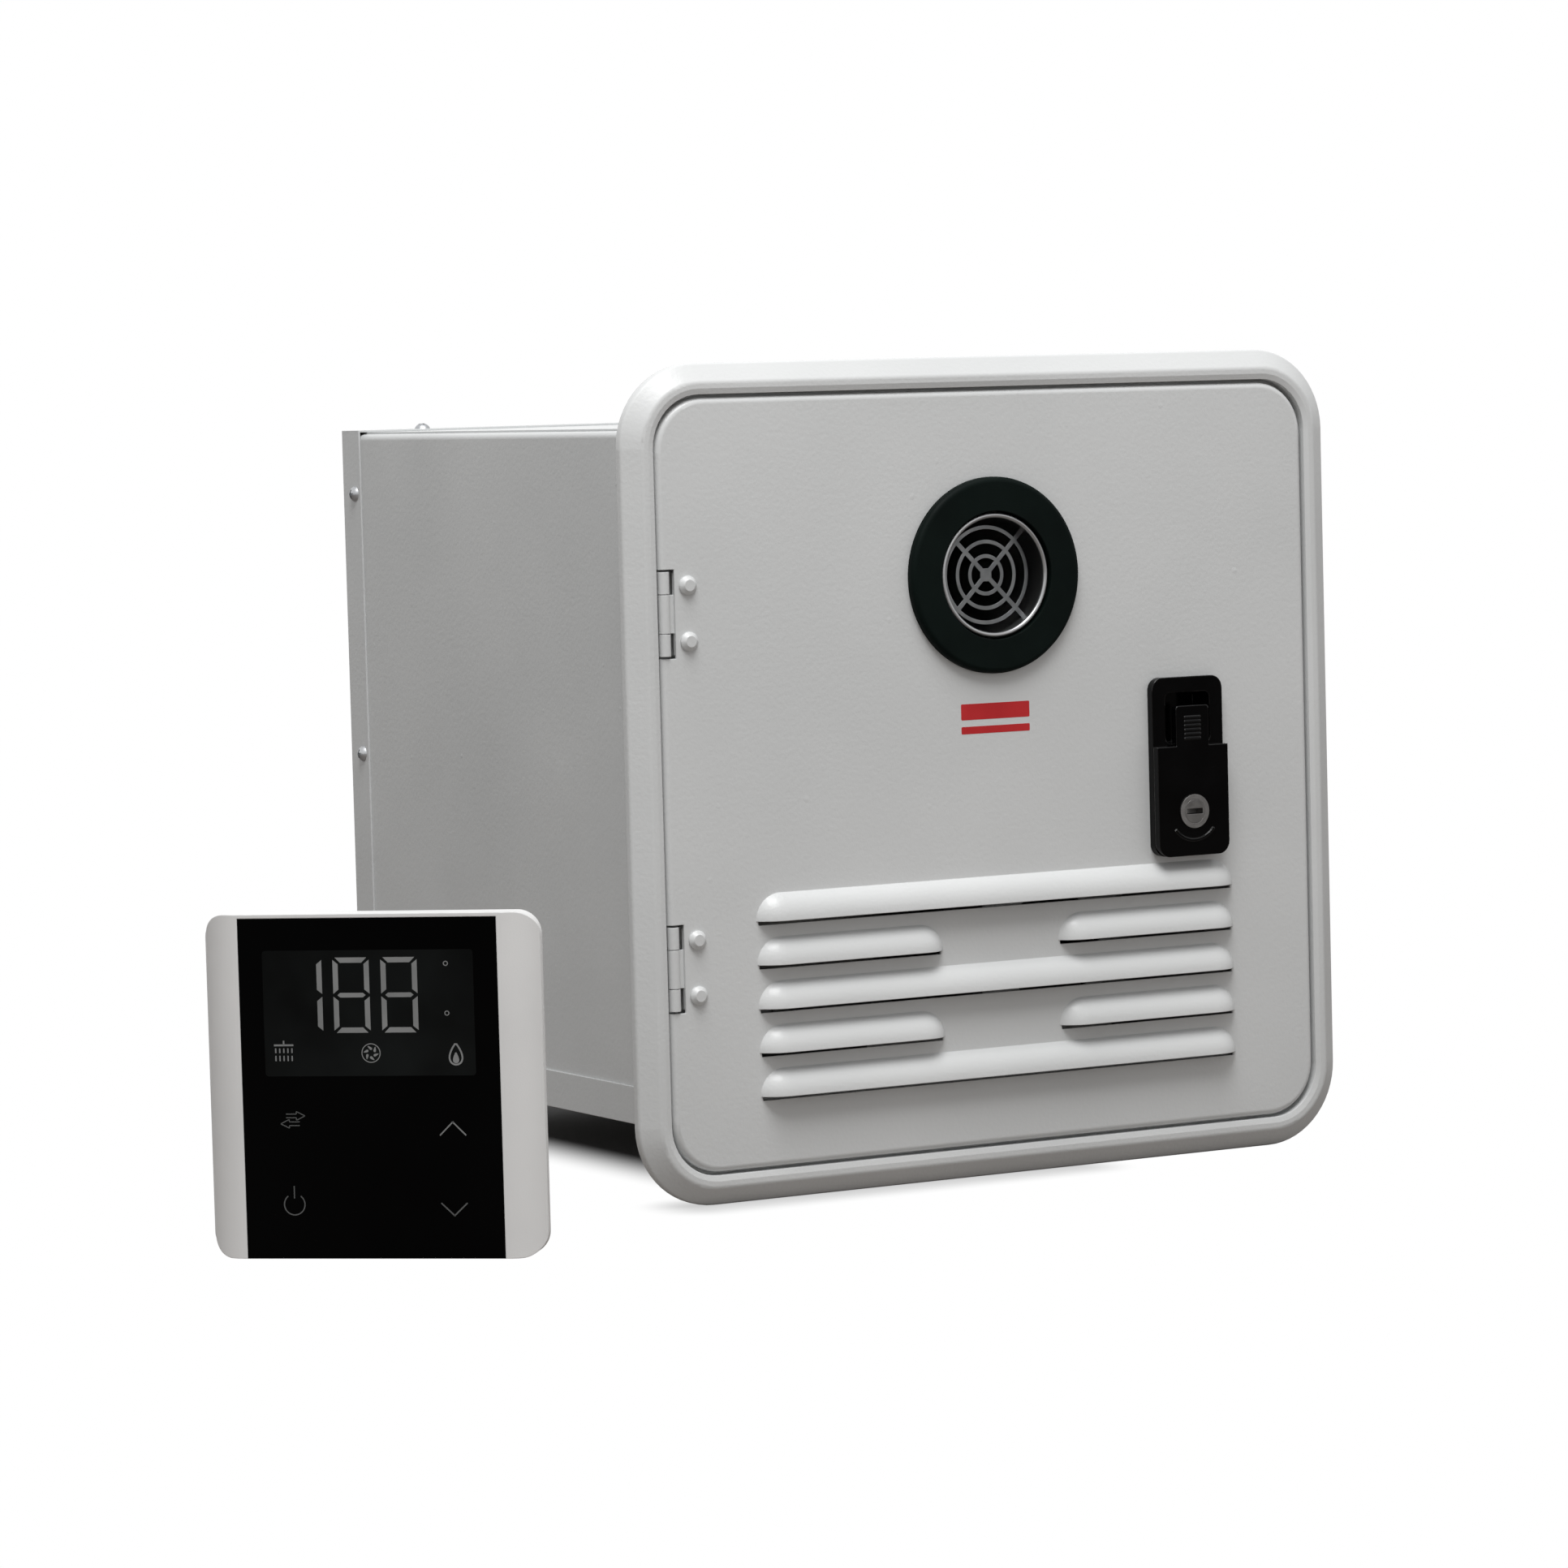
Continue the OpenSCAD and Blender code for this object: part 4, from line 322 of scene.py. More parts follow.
front_glass = plain_finish(
    "front_glass", (0.0006, 0.0006, 0.0007), (0.0012, 0.0013, 0.0014), gloss=(0.05, 0.09), grain=25.0,
    depth=0.00001, specular=0.05, blotch=14.0)
box_grey = plain_finish(
    "box_grey", (0.56, 0.56, 0.53), (0.63, 0.63, 0.60), gloss=(0.46, 0.58), grain=1500.0, depth=0.00005,
    specular=0.4, blotch=20.0)
ceramic = plain_finish(
    "ceramic", (0.72, 0.69, 0.63), (0.80, 0.78, 0.73), gloss=(0.20, 0.32), grain=700.0, depth=0.00003,
    blotch=120.0)
board_green = plain_finish(
    "board_green", (0.010, 0.090, 0.040), (0.020, 0.130, 0.060), gloss=(0.28, 0.40), grain=800.0,
    depth=0.00004, blotch=160.0)
wheel_plastic = plain_finish(
    "wheel_plastic", (0.66, 0.66, 0.64), (0.74, 0.74, 0.72), gloss=(0.36, 0.48), grain=1500.0,
    depth=0.00003, blotch=80.0)
peep_glass = plain_finish(
    "peep_glass", (0.42, 0.50, 0.50), (0.50, 0.58, 0.58), gloss=(0.06, 0.12), grain=60.0, depth=0.00002,
    blotch=40.0)
latch_shader = latch_black.node_tree.nodes["Principled BSDF"]
shining_edges(latch_black.node_tree, latch_shader, radius=0.0004, flat_level=0.12, edge_level=0.6)
print("plastics", [m.name for m in (ring_rubber, latch_black, shell_white, front_glass, box_grey)])

# %% Give every solid its finish
FINISH_OF = {
    coat: ["wall_frame", "door_panel", "frame_hinge_leaves", "door_hinge_leaves", "hinge_rivets"],
    coat_case: ["side_panel_left", "side_panel_right", "top_panel", "base_pan", "rear_panel"],
    stainless: ["exhaust_tube"],
    grille_steel: ["flue_grille"],
    zinc: ["case_screws", "hinge_pins", "lever_pin", "bolt_guide", "latch_bolt", "lock_cam", "relief_lever",
           "blower_housing", "air_duct"],
    lock_metal: ["lock_barrel"],
    keyway: ["lock_plug"],
    copper: ["heat_exchanger", "exchanger_tubes", "cold_pipe", "cold_riser", "hot_pipe"],
    brass: ["cold_inlet", "hot_outlet", "relief_valve", "gas_inlet_pipe"],
    flame_sheet: ["flue_hood", "combustion_chamber", "burner_tray"],
    burner_steel: ["burner_bars", "gas_manifold"],
    cast_metal: ["gas_valve"],
    ring_rubber: ["flue_ring", "cable_grommet"],
    seal_foam: ["opening_seal"],
    latch_black: ["latch_housing", "latch_lever"],
    inner_black: ["valve_coils", "spark_generator", "blower_motor", "impeller", "flow_sensor",
                  "thermal_cutouts", "rocker_switch"],
    shell_white: ["controller_shell", "controller_back"],
    front_glass: ["controller_glass"],
    box_grey: ["control_box", "control_cover"],
    ceramic: ["electrodes"],
    board_green: ["circuit_board"],
    wheel_plastic: ["flow_turbine"],
    peep_glass: ["sight_glass"],
}
for finish, names in FINISH_OF.items():
    for name in names:
        nodes[name].data.materials.clear()
        nodes[name].data.materials.append(finish)
bare = sorted(set(nodes) - {n for names in FINISH_OF.values() for n in names})
print("solids without a finish:", bare)

# %% [markdown]
# ## Flat prints as thin geometry
# The marks on the glass are a backlit screen print: flat shapes, sharp at their edges. They could be
# painted by a texture, but an image isn't wanted here and a shape stays sharp close up. So each mark
# starts as a plane or a disc lying flat, is shaped in edit mode, and all of them are joined and given
# the thickness of a layer of ink.

# %% Helpers for flat marks
ROUND_STEPS = 5
LOOP_POINTS = 48
DROP_POINTS = 32
DROP_PULL = 1.7


def ready():
    """Leave edit mode and select nothing."""
    if bpy.context.object and bpy.context.object.mode == "EDIT":
        bpy.ops.object.mode_set(mode="OBJECT")
    bpy.ops.object.select_all(action="DESELECT")


def pick(piece, kind, wanted):
    """Select the vertices, edges or faces whose middle is wanted, and stay in edit mode."""
    bpy.ops.object.mode_set(mode="EDIT")
    bpy.ops.mesh.select_mode(type=kind)
    bpy.ops.mesh.select_all(action="DESELECT")
    bpy.ops.object.mode_set(mode="OBJECT")
    points = piece.data.vertices
    if kind == "VERT":
        for point in points:
            point.select = wanted(point.co)
    elif kind == "EDGE":
        for edge in piece.data.edges:
            edge.select = wanted((points[edge.vertices[0]].co + points[edge.vertices[1]].co) / 2)
    else:
        for face in piece.data.polygons:
            face.select = wanted(face.center)
    bpy.ops.object.mode_set(mode="EDIT")


def settle(piece, x, y, turn=0.0):
    ready()
    piece.select_set(True)
    bpy.context.view_layer.objects.active = piece
    piece.location = (x * MM, y * MM, 0.0)
    piece.rotation_euler = (0.0, 0.0, turn)
    bpy.ops.object.transform_apply(location=True, rotation=True, scale=True)
    return piece


def stroke(ax, ay, bx, by, width, tip=0.0, taper=1.0, soft=0.0):
    """A stroke from a to b. tip points its ends, taper shortens its left edge, soft rounds its corners."""
    ready()
    length = math.hypot(bx - ax, by - ay) * MM
    bpy.ops.mesh.primitive_plane_add(size=1.0)
    piece = bpy.context.active_object
    piece.scale = (length, width * MM, 1.0)
    bpy.ops.object.transform_apply(location=False, rotation=False, scale=True)
    if taper < 1.0:
        pick(piece, "EDGE", lambda c: c.y > 0.4 * width * MM)
        bpy.ops.transform.resize(value=(taper, 1.0, 1.0))
    for side in (-1.0, 1.0) if tip else ():
        pick(piece, "EDGE", lambda c: c.x * side > 0.45 * length)
        bpy.ops.mesh.extrude_edges_move(TRANSFORM_OT_translate={"value": (side * tip * MM, 0.0, 0.0)})
        bpy.ops.mesh.merge(type="CENTER")
    if soft:
        pick(piece, "VERT", lambda c: True)
        bpy.ops.mesh.bevel(offset=soft * MM, segments=ROUND_STEPS, affect="VERTICES")
    return settle(piece, (ax + bx) / 2, (ay + by) / 2, math.atan2(by - ay, bx - ax))


def loop(x, y, r, width, gap=0.0):
    """A flat ring, open at its top by the angle gap."""
    ready()
    bpy.ops.mesh.primitive_circle_add(vertices=LOOP_POINTS, radius=r * MM, fill_type="NGON")
    piece = bpy.context.active_object
    bpy.ops.object.mode_set(mode="EDIT")
    bpy.ops.mesh.select_all(action="SELECT")
    bpy.ops.mesh.inset(thickness=width * MM)
    bpy.ops.mesh.delete(type="FACE")
    if gap:
        pick(piece, "FACE", lambda c: abs(math.atan2(c.x, c.y)) < gap / 2)
        bpy.ops.mesh.delete(type="FACE")
    return settle(piece, x, y)


def drop(x, y, r, rise, width=0.0, turn=0.0):
    """A drop with its tip up: a disc whose top is drawn out. With a width only its outline is left."""
    ready()
    bpy.ops.mesh.primitive_circle_add(vertices=DROP_POINTS, radius=r * MM, fill_type="NGON")
    piece = bpy.context.active_object
    pick(piece, "VERT", lambda c: c.y > 0.98 * r * MM)
    bpy.ops.transform.translate(value=(0.0, rise * MM, 0.0), use_proportional_edit=True,
                                proportional_edit_falloff="SHARP", proportional_size=DROP_PULL * r * MM)
    if width:
        bpy.ops.mesh.select_all(action="SELECT")
        bpy.ops.mesh.inset(thickness=width * MM)
        bpy.ops.mesh.delete(type="FACE")
    return settle(piece, x, y, turn)


def as_layer(name, flats, thickness, place):
    """Join flat marks into one piece, give it thickness and stand it up at its place, facing the front."""
    ready()
    for flat in flats:
        flat.select_set(True)
    bpy.context.view_layer.objects.active = flats[0]
    if len(flats) > 1:
        bpy.ops.object.join()
    piece = bpy.context.active_object
    piece.name = name
    piece.data.name = name
    bpy.ops.object.modifier_add(type="SOLIDIFY")
    piece.modifiers[-1].thickness = thickness * MM
    piece.modifiers[-1].offset = 1.0
    bpy.ops.object.modifier_apply(modifier=piece.modifiers[-1].name)
    piece.matrix_world = place @ Matrix.Rotation(math.radians(90.0), 4, "X")
    bpy.ops.object.transform_apply(location=True, rotation=True, scale=True)
    return piece


print("helpers for flat marks ready")

# %% [markdown]
# ## The controller's screen
# Behind the black glass there is a slightly lighter screen with three figures, each of seven bars with
# mitred ends. Around it are touch marks: a flame, a fan, a shower, arrows and a power mark. Points are
# given in millimetres from the glass's lower left corner, as one would draw the print. The last step
# stands the layer up on the glass, whose foot and turn are read from the solid.

# %% Screen and figures
GLASS_W = 114.0
FIGURE_W, FIGURE_H, FIGURE_Z, BAR_W = 16.0, 32.5, 97.8, 2.3
MITRE, MITRE_MID = 1.0, 0.6
MIDDLE_BAR_W, MIDDLE_BAR_IN, MIDDLE_BAR_TIP = 2.0, 3.0, 1.2
FIGURE_X = (20.8, 41.7, 62.8)
RING_X, RING_HIGH, RING_LOW, RING_R, RING_W = 91.4, 127.4, 106.0, 1.1, 0.4
WINDOW_LEFT, WINDOW_RIGHT, WINDOW_MID, WINDOW_H = 10.6, 103.4, 106.3, 54.3
WINDOW_FILM, INK_FILM = 0.02, 0.05


def box(node):
    """Low and high corner of a solid."""
    return Vector(nodes[node].bound_box[0]), Vector(nodes[node].bound_box[6])


glass = nodes["controller_glass"].data
glass_lo, glass_hi = box("controller_glass")
glass_mid = (glass_lo + glass_hi) / 2
glass_front = max(glass.polygons, key=lambda face: -face.normal.y * face.area).normal.copy()
reach = max(glass_front.dot(point.co) for point in glass.vertices)
glass_foot = glass_mid + glass_front * (reach - glass_front.dot(glass_mid))
glass_foot.z = glass_lo.z
glass_turn = math.atan2(glass_front.x, -glass_front.y)
glass_place = Matrix.Translation(glass_foot) @ Matrix.Rotation(glass_turn, 4, "Z")
print_place = glass_place @ Matrix.Translation((-GLASS_W / 2 * MM, 0.0, 0.0))


def figure(x0, bars):
    x1, low, top = x0 + FIGURE_W, FIGURE_Z, FIGURE_Z + FIGURE_H
    mid, h = (low + top) / 2, BAR_W / 2
    flat = 1 - 2 * BAR_W / (FIGURE_W - 2 * MITRE)
    tall = 1 - (1 + MITRE_MID) * BAR_W / (FIGURE_H / 2 - (1 + MITRE_MID) * MITRE)
    drawn = {
        "top": (x1 - MITRE, top - h, x0 + MITRE, top - h, BAR_W, 0.0, flat),
        "low": (x0 + MITRE, low + h, x1 - MITRE, low + h, BAR_W, 0.0, flat),
        "left_high": (x0 + h, top - MITRE, x0 + h, mid + MITRE_MID * MITRE, BAR_W, 0.0, tall),
        "left_low": (x0 + h, mid - MITRE_MID * MITRE, x0 + h, low + MITRE, BAR_W, 0.0, tall),
        "right_high": (x1 - h, mid + MITRE_MID * MITRE, x1 - h, top - MITRE, BAR_W, 0.0, tall),
        "right_low": (x1 - h, low + MITRE, x1 - h, mid - MITRE_MID * MITRE, BAR_W, 0.0, tall),
        "middle": (x0 + MIDDLE_BAR_IN, mid, x1 - MIDDLE_BAR_IN, mid, MIDDLE_BAR_W, MIDDLE_BAR_TIP, 1.0),
    }
    return [stroke(*drawn[bar]) for bar in bars]


ALL_BARS = ["top", "low", "left_high", "left_low", "right_high", "right_low", "middle"]
figures = figure(FIGURE_X[0], ["right_high", "right_low"])
figures += figure(FIGURE_X[1], ALL_BARS) + figure(FIGURE_X[2], ALL_BARS)
marks = figures + [loop(RING_X, height, RING_R, RING_W) for height in (RING_HIGH, RING_LOW)]
window_flat = stroke(WINDOW_LEFT, WINDOW_MID, WINDOW_RIGHT, WINDOW_MID, WINDOW_H, soft=1.5)
window = as_layer("screen_window", [window_flat], WINDOW_FILM, print_place)
print("figure bars", len(figures), "screen", [round(v / MM, 1) for v in window.dimensions])

# %% Touch marks around the figures
# Flame, fan and shower under the figures
marks += [drop(94.8, 86.6, 3.2, 3.2, width=0.75), drop(94.8, 85.7, 1.35, 2.0)]
FAN_X, FAN_Z, BLADE_R, BLADES = 57.5, 89.0, 1.9, 6
marks += [loop(FAN_X, FAN_Z, 4.2, 0.4)]
for blade in range(BLADES):
    angle = blade * math.tau / BLADES
    x, z = FAN_X - BLADE_R * math.sin(angle), FAN_Z + BLADE_R * math.cos(angle)
    marks.append(drop(x, z, 0.55, 1.2, turn=angle + 0.9))
marks += [stroke(14.7, 92.6, 23.3, 92.6, 0.8), stroke(19.0, 92.6, 19.0, 94.6, 0.7)]
JETS, JET_X, JET_STEP = 5, 15.4, 1.8
for jet in range(JETS):
    x = JET_X + JET_STEP * jet
    marks += [stroke(x, 91.3, x, 89.2, 0.6, soft=0.25), stroke(x, 88.1, x, 85.7, 0.6, soft=0.25)]
# Arrows that swap, a step up and down, and the power mark: most of these touch marks are dimmer
touch = []
SWAP_X, SWAP_Z = 22.0, 60.3
ARROW = [(19.0, 61.2), (23.6, 61.2), (23.6, 60.1), (27.4, 62.0), (23.6, 63.9), (23.6, 62.8), (19.0, 62.8)]
for turned in (1.0, -1.0):
    corners = [(SWAP_X + turned * (x - SWAP_X), SWAP_Z + turned * (z - SWAP_Z)) for x, z in ARROW]
    touch += [stroke(*a, *b, 0.4, soft=0.15) for a, b in zip(corners, corners[1:])]
marks += [stroke(86.8, 53.4, 92.6, 59.2, 0.6, tip=0.25), stroke(92.3, 59.2, 98.1, 53.4, 0.6, tip=0.25)]
touch += [stroke(86.5, 24.0, 92.3, 18.5, 0.6, tip=0.25), stroke(92.0, 18.5, 97.8, 24.0, 0.6, tip=0.25)]
touch += [loop(21.6, 23.6, 4.8, 0.5, gap=1.3), stroke(21.6, 26.2, 21.6, 31.6, 0.5)]
screen_marks = as_layer("screen_marks", marks, INK_FILM, print_place)
touch_marks = as_layer("touch_marks", touch, INK_FILM, print_place)
ink_grey = plain_finish(
    "ink_grey", (0.22, 0.225, 0.225), (0.27, 0.275, 0.275), gloss=(0.42, 0.55), grain=900.0,
    depth=0.00001, specular=0.1, blotch=60.0)
# The screen is its own dark grey; its wide blotches, from near black to grey, are a painted reflection in
# the glass
screen_with_painted_reflection = plain_finish(
    "screen_with_painted_reflection", (0.002, 0.0022, 0.0022), (0.009, 0.0105, 0.0105), gloss=(0.10, 0.18), grain=300.0,
    depth=0.00001, specular=0.08, blotch=16.0)
ink_dim = plain_finish(
    "ink_dim", (0.105, 0.108, 0.108), (0.130, 0.133, 0.133), gloss=(0.42, 0.55), grain=900.0,
    depth=0.00001, specular=0.1, blotch=60.0)
for print_layer, ink in ((screen_marks, ink_grey), (touch_marks, ink_dim), (window, screen_with_painted_reflection)):
    print_layer.data.materials.append(ink)
    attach(print_layer, "heater")
print("faces of the marks", len(screen_marks.data.polygons), len(touch_marks.data.polygons))

# %% [markdown]
# ## Red accent on the door
# The door carries a small red print below the flue. It is drawn as two plain bars, a broad one and a
# line under it, with slightly rounded corners, and lies on the paint as a thin film. A ray from the
# front finds the door's face.

# %% Red bars
LOOK_FROM_Y = -0.05
ACCENT_HALF, ACCENT_FILM = 18.6, 0.06
BROAD_Z, BROAD_H = 26.6, 7.4
LINE_Z, LINE_H = 18.1, 3.4


def front_of(node, x, z):
    """Where a ray from the front meets a solid at x and z in millimetres, and the normal there."""
    start = Vector((x * MM, LOOK_FROM_Y, z * MM))
    found, where, normal, _ = nodes[node].ray_cast(start, Vector((0.0, 1.0, 0.0)))
    return (where, normal) if found else (None, None)


door_face, _ = front_of("door_panel", 0.0, BROAD_Z)
broad_bar = stroke(-ACCENT_HALF, BROAD_Z, ACCENT_HALF, BROAD_Z, BROAD_H, soft=0.6)
line_under = stroke(-ACCENT_HALF, LINE_Z, ACCENT_HALF, LINE_Z, LINE_H, soft=0.5)
accent = as_layer("door_accent", [broad_bar, line_under], ACCENT_FILM,
                  Matrix.Translation((0.0, door_face.y, 0.0)))
red_film = plain_finish(
    "red_film", (0.50, 0.018, 0.022), (0.58, 0.026, 0.030), gloss=(0.34, 0.44), grain=900.0,
    depth=0.00001, specular=0.3, blotch=40.0)
accent.data.materials.append(red_film)
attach(accent, "door")
print("accent", [round(v / MM, 2) for v in accent.dimensions])

# %% [markdown]
# ## Screws inside
# Control box, burner stack, blower and gas valve are screwed together from the front, where a fitter
# reaches them with the door open. A pan head is a short cylinder with a rounded top and a cross recess.
# It is modelled once, the recess is cut by a cross of two bars, and every screw is a copy with its own
# mesh. Screws are set in from the outline of their solid, and a ray finds the sheet they sit on.

# %% One pan head
HEAD_D, HEAD_H, HEAD_ROUND = 7.0, 2.6, 1.5
HEAD_POINTS, HEAD_STEPS = 28, 4
HEAD_SMOOTH = 38.0
FIRST_TURN, NEXT_TURN = 0.3, 0.7
CROSS_LEN, CROSS_W, CROSS_DEEP = 3.8, 0.9, 2.4
FLAT_ENOUGH = 0.98


def pan_head():
    ready()
    bpy.ops.mesh.primitive_cylinder_add(vertices=HEAD_POINTS, radius=HEAD_D / 2 * MM, depth=HEAD_H * MM,
                                        location=(0.0, 0.0, HEAD_H / 2 * MM))
    head = bpy.context.active_object
    bpy.ops.object.transform_apply(location=True, rotation=True, scale=True)
    pick(head, "FACE", lambda c: c.z > 0.95 * HEAD_H * MM)
    bpy.ops.mesh.bevel(offset=HEAD_ROUND * MM, segments=HEAD_STEPS, affect="EDGES")
    ready()
    bars = []
    for turn in (0.0, math.pi / 2):
        bpy.ops.mesh.primitive_cube_add(size=1.0, location=(0.0, 0.0, HEAD_H * MM),
                                        rotation=(0.0, 0.0, turn))
        bar = bpy.context.active_object
        bar.scale = (CROSS_LEN * MM, CROSS_W * MM, CROSS_DEEP * MM)
        bpy.ops.object.transform_apply(location=True, rotation=True, scale=True)
        bars.append(bar)
    for bar in bars:
        ready()
        head.select_set(True)
        bpy.context.view_layer.objects.active = head
        bpy.ops.object.modifier_add(type="BOOLEAN")
        head.modifiers[-1].operation = "DIFFERENCE"
        head.modifiers[-1].object = bar
        bpy.ops.object.modifier_apply(modifier=head.modifiers[-1].name)
        bpy.data.objects.remove(bar)
    bpy.ops.object.shade_smooth_by_angle(angle=math.radians(HEAD_SMOOTH))
    head.name = "pan_head"
    return head


def screws(master, name, node, spots, body):
    """Copy the head to each spot (x, z) on a solid's front, each turned a bit more, and join them."""
    copies = []
    for count, (x, z) in enumerate(spots):
        where, normal = front_of(node, x, z)
        if where is None or normal.y > -FLAT_ENOUGH:
            print("no flat sheet for a screw at", node, x, z)
            continue
        ready()
        master.select_set(True)
        bpy.context.view_layer.objects.active = master
        bpy.ops.object.duplicate(linked=False)
        copy = bpy.context.active_object
        copy.matrix_world = (Matrix.Translation(where) @ Matrix.Rotation(math.radians(90.0), 4, "X")
                             @ Matrix.Rotation(NEXT_TURN * count + FIRST_TURN, 4, "Z"))
        bpy.ops.object.transform_apply(location=True, rotation=True, scale=True)
        copies.append(copy)
    ready()
    for copy in copies:
        copy.select_set(True)
    bpy.context.view_layer.objects.active = copies[0]
    bpy.ops.object.join()
    group = bpy.context.active_object
    group.name = name
    group.data.name = name
    group.data.materials.clear()
    group.data.materials.append(zinc)
    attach(group, body)
    print(name, len(copies), "heads")
    return group


head_master = pan_head()
print("pan head", len(head_master.data.polygons), "faces")

# %% Screws on the control box, the stack, the blower and the gas valve
BLOWER_RING = 43.0
BLOWER_ANGLES = (0.8, 2.35, 3.93, 5.5)


def inside(node, in_x, in_low, in_high):
    """Left, right, low and high places in millimetres, set in from a solid's outline."""
    lo, hi = box(node)
    return lo.x / MM + in_x, hi.x / MM - in_x, lo.z / MM + in_low, hi.z / MM - in_high


def four(left, right, low, high):
    return [(x, z) for x in (left, right) for z in (low, high)]


control_spots = four(*inside("control_cover", in_x=4.5, in_low=5.0, in_high=5.0))
valve_spots = four(*inside("gas_valve", in_x=7.5, in_low=14.0, in_high=9.0))
left, right, low, high = inside("combustion_chamber", in_x=9.0, in_low=7.0, in_high=7.0)
chamber_spots = [(left, high), (left, low), (right, high)]
left, right, low, high = inside("flue_hood", in_x=9.0, in_low=6.0, in_high=6.0)
hood_spots = [(left, low), ((left + right) / 2, low), (right, low)]
wheel_lo, wheel_hi = box("impeller")
wheel = (wheel_lo + wheel_hi) / 2 / MM
blower_spots = [(wheel.x + BLOWER_RING * math.cos(angle), wheel.z + BLOWER_RING * math.sin(angle))
                for angle in BLOWER_ANGLES]
SCREWED = {
    "control_screws": ("control_cover", control_spots),
    "hood_screws": ("flue_hood", hood_spots),
    "chamber_screws": ("combustion_chamber", chamber_spots),
    "blower_screws": ("blower_housing", blower_spots),
    "valve_screws": ("gas_valve", valve_spots),
}
for group_name, (solid, spots) in SCREWED.items():
    screws(head_master, group_name, solid, spots, "heater")
bpy.data.objects.remove(head_master)

# %% [markdown]
# ## Threads on the rear fittings
# The two water fittings and the gas fitting have outside threads for the caravan's hoses. A thread is a
# ridge that winds around the axis: a small triangle drawn once, which the Screw modifier turns and
# pushes along. The ridge sits on the plain barrel of the solid, from the lock nut to the fitting's end,
# and its two open ends are closed.

# %% Thread ridges
NUT_FACE = 347.0
THREAD_STEPS = 36
THREAD_SMOOTH = 30.0
SUNK = 0.15
HALF_BASE = 0.42
# A circle of three points and radius 1 is a triangle of this height and half width
TRIANGLE_H, TRIANGLE_HALF = 1.5, math.cos(math.pi / 6)


def thread(name, fitting, core_r, pitch, depth):
    """The triangle's tip points outwards, its base is sunk a little into the barrel."""
    lo, hi = box(fitting)
    axis = (lo + hi) / 2
    turns = int((hi.y / MM - NUT_FACE) / pitch - 1.0)
    ready()
    bpy.ops.mesh.primitive_circle_add(vertices=3, radius=1.0, fill_type="NOTHING")
    ridge = bpy.context.active_object
    height = depth + SUNK
    ridge.scale = (HALF_BASE * pitch / TRIANGLE_HALF * MM, height / TRIANGLE_H * MM, 1.0)
    ridge.rotation_euler = (0.0, 0.0, -math.pi / 2)
    ridge.location = ((core_r + depth - height / TRIANGLE_H) * MM, 0.0, 0.0)
    bpy.ops.object.transform_apply(location=True, rotation=True, scale=True)
    bpy.ops.object.modifier_add(type="SCREW")
    turned = ridge.modifiers[-1]
    turned.axis = "Y"
    turned.screw_offset = pitch * MM
    turned.iterations = turns
    turned.steps = THREAD_STEPS
    turned.render_steps = THREAD_STEPS
    bpy.ops.object.modifier_apply(modifier=turned.name)
    bpy.ops.object.mode_set(mode="EDIT")
    bpy.ops.mesh.select_mode(type="EDGE")
    bpy.ops.mesh.select_all(action="SELECT")
    bpy.ops.mesh.fill_holes(sides=3)
    bpy.ops.mesh.select_all(action="SELECT")
    bpy.ops.mesh.normals_make_consistent(inside=False)
    ready()
    ridge.select_set(True)
    bpy.context.view_layer.objects.active = ridge
    ridge.location = (axis.x, (NUT_FACE + pitch) * MM, axis.z)
    bpy.ops.object.transform_apply(location=True, rotation=True, scale=True)
    bpy.ops.object.shade_smooth_by_angle(angle=math.radians(THREAD_SMOOTH))
    ridge.name = name
    ridge.data.name = name
    ridge.data.materials.append(brass)
    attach(ridge, "heater")
    print(name, turns, "turns,", len(ridge.data.polygons), "faces")


thread("cold_thread", "cold_inlet", core_r=10.4, pitch=1.81, depth=0.8)
thread("hot_thread", "hot_outlet", core_r=10.4, pitch=1.81, depth=0.8)
thread("gas_thread", "gas_inlet_pipe", core_r=7.9, pitch=1.34, depth=0.65)

# %% [markdown]
# ## Marks on the power switch
# The rocker has the two usual signs: an upright stroke for on and a ring for off, one on each half.
# They tilt with the rocker, so they ride on its body. A ray finds each half's face and its lean.

# %% Rocker marks
ON_Z, OFF_Z, SIGN_R = 115.6, 106.6, 1.9
rocker_lo, rocker_hi = box("rocker_switch")
rocker_x = (rocker_lo.x + rocker_hi.x) / 2 / MM


def rocker_half(z):
    where, normal = front_of("rocker_switch", rocker_x, z)
    return Matrix.Translation(where) @ Matrix.Rotation(math.atan2(-normal.z, -normal.y), 4, "X")


on_flat = stroke(0.0, -SIGN_R, 0.0, SIGN_R, 0.9, soft=0.2)
on_mark = as_layer("switch_mark_on", [on_flat], INK_FILM, rocker_half(ON_Z))
off_flat = loop(0.0, 0.0, SIGN_R, 0.6)
off_mark = as_layer("switch_mark_off", [off_flat], INK_FILM, rocker_half(OFF_Z))
white_ink = plain_finish(
    "white_ink", (0.70, 0.70, 0.69), (0.76, 0.76, 0.75), gloss=(0.40, 0.50), grain=900.0, depth=0.00001,
    specular=0.3, blotch=80.0)
for mark in (on_mark, off_mark):
    mark.data.materials.append(white_ink)
    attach(mark, "rocker")
print("switch marks", on_mark.name, off_mark.name)
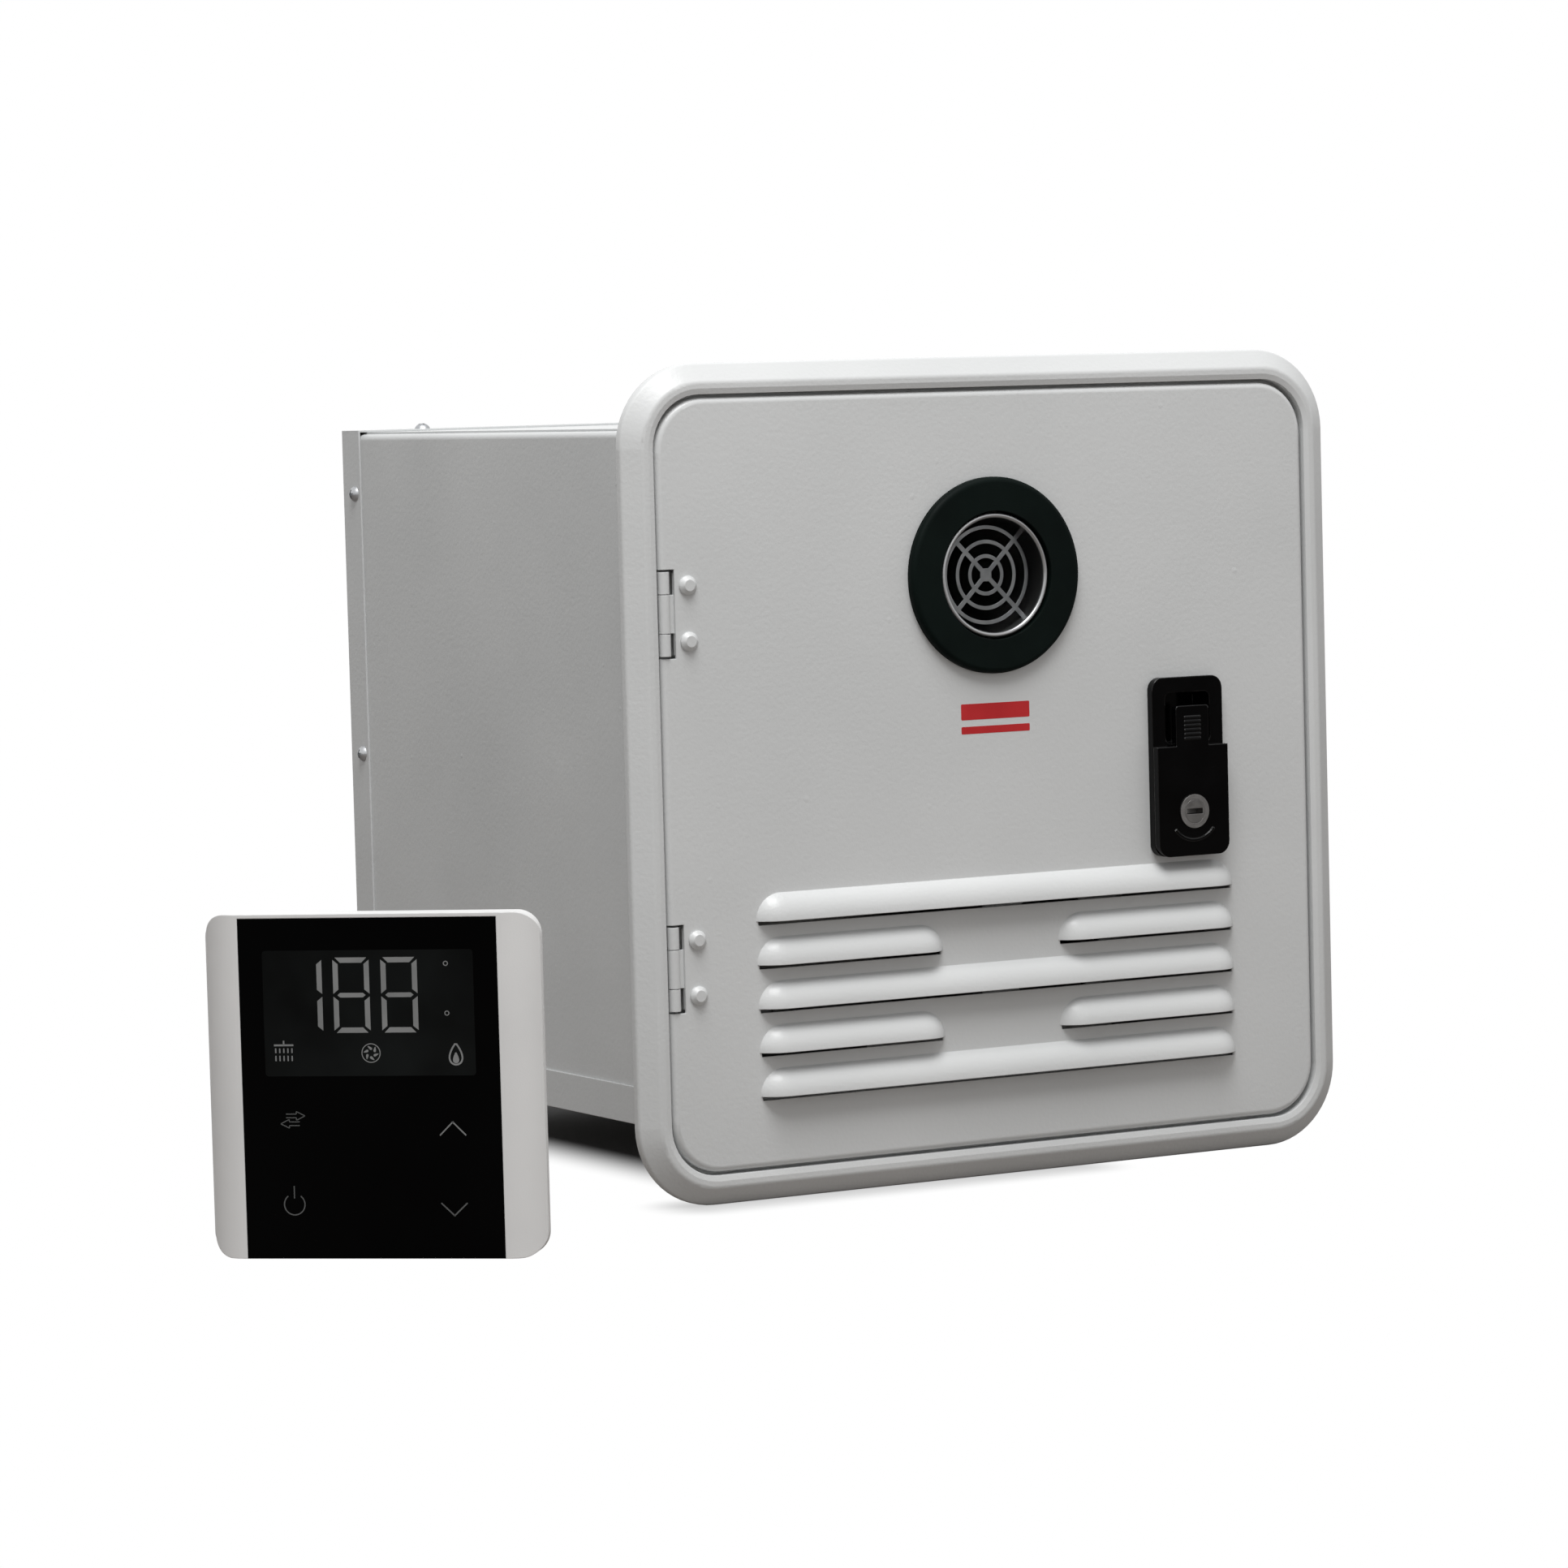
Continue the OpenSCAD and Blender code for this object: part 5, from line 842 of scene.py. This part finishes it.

# %% [markdown]
# ## The floor
# The ground is white, with a painted shadow: a soft dark patch under the casing and a faint grey strip at
# the frame's foot. A plain white floor would show its far edge and throw much light back up, so to the eye
# the floor runs out into pure white with the distance from the casing's footprint, and to other rays it is
# a darker matt ground. Close by, the eye sees the painted dark matt tone, which the lamp then lights.

# %% Floor that runs out into white
FLOOR_Z, FLOOR_SIZE = cad_lo.z, 14.0
# The tone below is a painted shadow: the dark floor colour the eye sees in the casing's footprint
PAINTED_SHADOW_TONE = (0.20, 0.20, 0.20)
BOUNCE_TONE = (0.24, 0.22, 0.205)
# The oblong where the painted shadow under the casing is darkest, and how far it fades out
FOOT_MID = (0.025, 0.215)
FOOT_HALF = (0.125, 0.145)
PAINTED_SHADOW_REACH = 0.05
# A faint painted shadow strip at the frame's foot, and the lowest whiteness inside it
FRAME_MID = (-0.06, -0.004)
FRAME_HALF = (0.10, 0.004)
FRAME_REACH = 0.03
FRAME_PAINTED_SHADOW_WHITENESS = 0.60
bpy.ops.mesh.primitive_plane_add(size=FLOOR_SIZE, location=(0.0, 0.0, FLOOR_Z))
floor = bpy.context.active_object
floor.name = "floor"
bpy.ops.object.transform_apply(location=True, rotation=True, scale=True)
ground = bpy.data.materials.new("white_ground_painted_shadow")
ground.use_nodes = True
tree = ground.node_tree
tree.nodes.clear()


def vector_step(operation, source, second=None):
    step = tree.nodes.new("ShaderNodeVectorMath")
    step.operation = operation
    tree.links.new(source, step.inputs[0])
    if second:
        step.inputs[1].default_value = second
    return step.outputs["Value" if operation == "LENGTH" else "Vector"]


def matt(tone):
    ground_tone = tree.nodes.new("ShaderNodeBsdfDiffuse")
    ground_tone.inputs["Color"].default_value = (*tone, 1.0)
    return ground_tone.outputs[0]


def mixed(factor, first, second):
    mixer = tree.nodes.new("ShaderNodeMixShader")
    tree.links.new(factor, mixer.inputs["Fac"])
    tree.links.new(first, mixer.inputs[1])
    tree.links.new(second, mixer.inputs[2])
    return mixer.outputs[0]


def run_out(middle, half, reach, low):
    """From the value low inside an oblong on the floor to 1 at the distance reach from it."""
    away = vector_step("SUBTRACT", floor_place, (*middle, FLOOR_Z))
    away = vector_step("SUBTRACT", vector_step("ABSOLUTE", away), (*half, 0.0))
    away = vector_step("LENGTH", vector_step("MAXIMUM", away, (0.0, 0.0, 0.0)))
    fade = tree.nodes.new("ShaderNodeMapRange")
    fade.interpolation_type = "SMOOTHSTEP"
    fade.inputs["From Min"].default_value = 0.0
    fade.inputs["From Max"].default_value = reach
    fade.inputs["To Min"].default_value = low
    tree.links.new(away, fade.inputs["Value"])
    return fade.outputs["Result"]


floor_place = tree.nodes.new("ShaderNodeTexCoord").outputs["Object"]
whiteness = tree.nodes.new("ShaderNodeMath")
whiteness.operation = "MULTIPLY"
tree.links.new(run_out(FOOT_MID, FOOT_HALF, PAINTED_SHADOW_REACH, 0.0), whiteness.inputs[0])
tree.links.new(run_out(FRAME_MID, FRAME_HALF, FRAME_REACH, FRAME_PAINTED_SHADOW_WHITENESS), whiteness.inputs[1])
glow = tree.nodes.new("ShaderNodeEmission")
glow.inputs["Color"].default_value = (1.0, 1.0, 1.0, 1.0)
glow.inputs["Strength"].default_value = 1.0
eye = tree.nodes.new("ShaderNodeLightPath")
# Where whiteness is low the eye sees the dark matt tone, a painted shadow; elsewhere the white glow
shown = mixed(whiteness.outputs[0], matt(PAINTED_SHADOW_TONE), glow.outputs[0])
done = tree.nodes.new("ShaderNodeOutputMaterial")
tree.links.new(mixed(eye.outputs["Is Camera Ray"], matt(BOUNCE_TONE), shown), done.inputs["Surface"])
floor.data.materials.append(ground)
print("floor at", round(FLOOR_Z, 4))
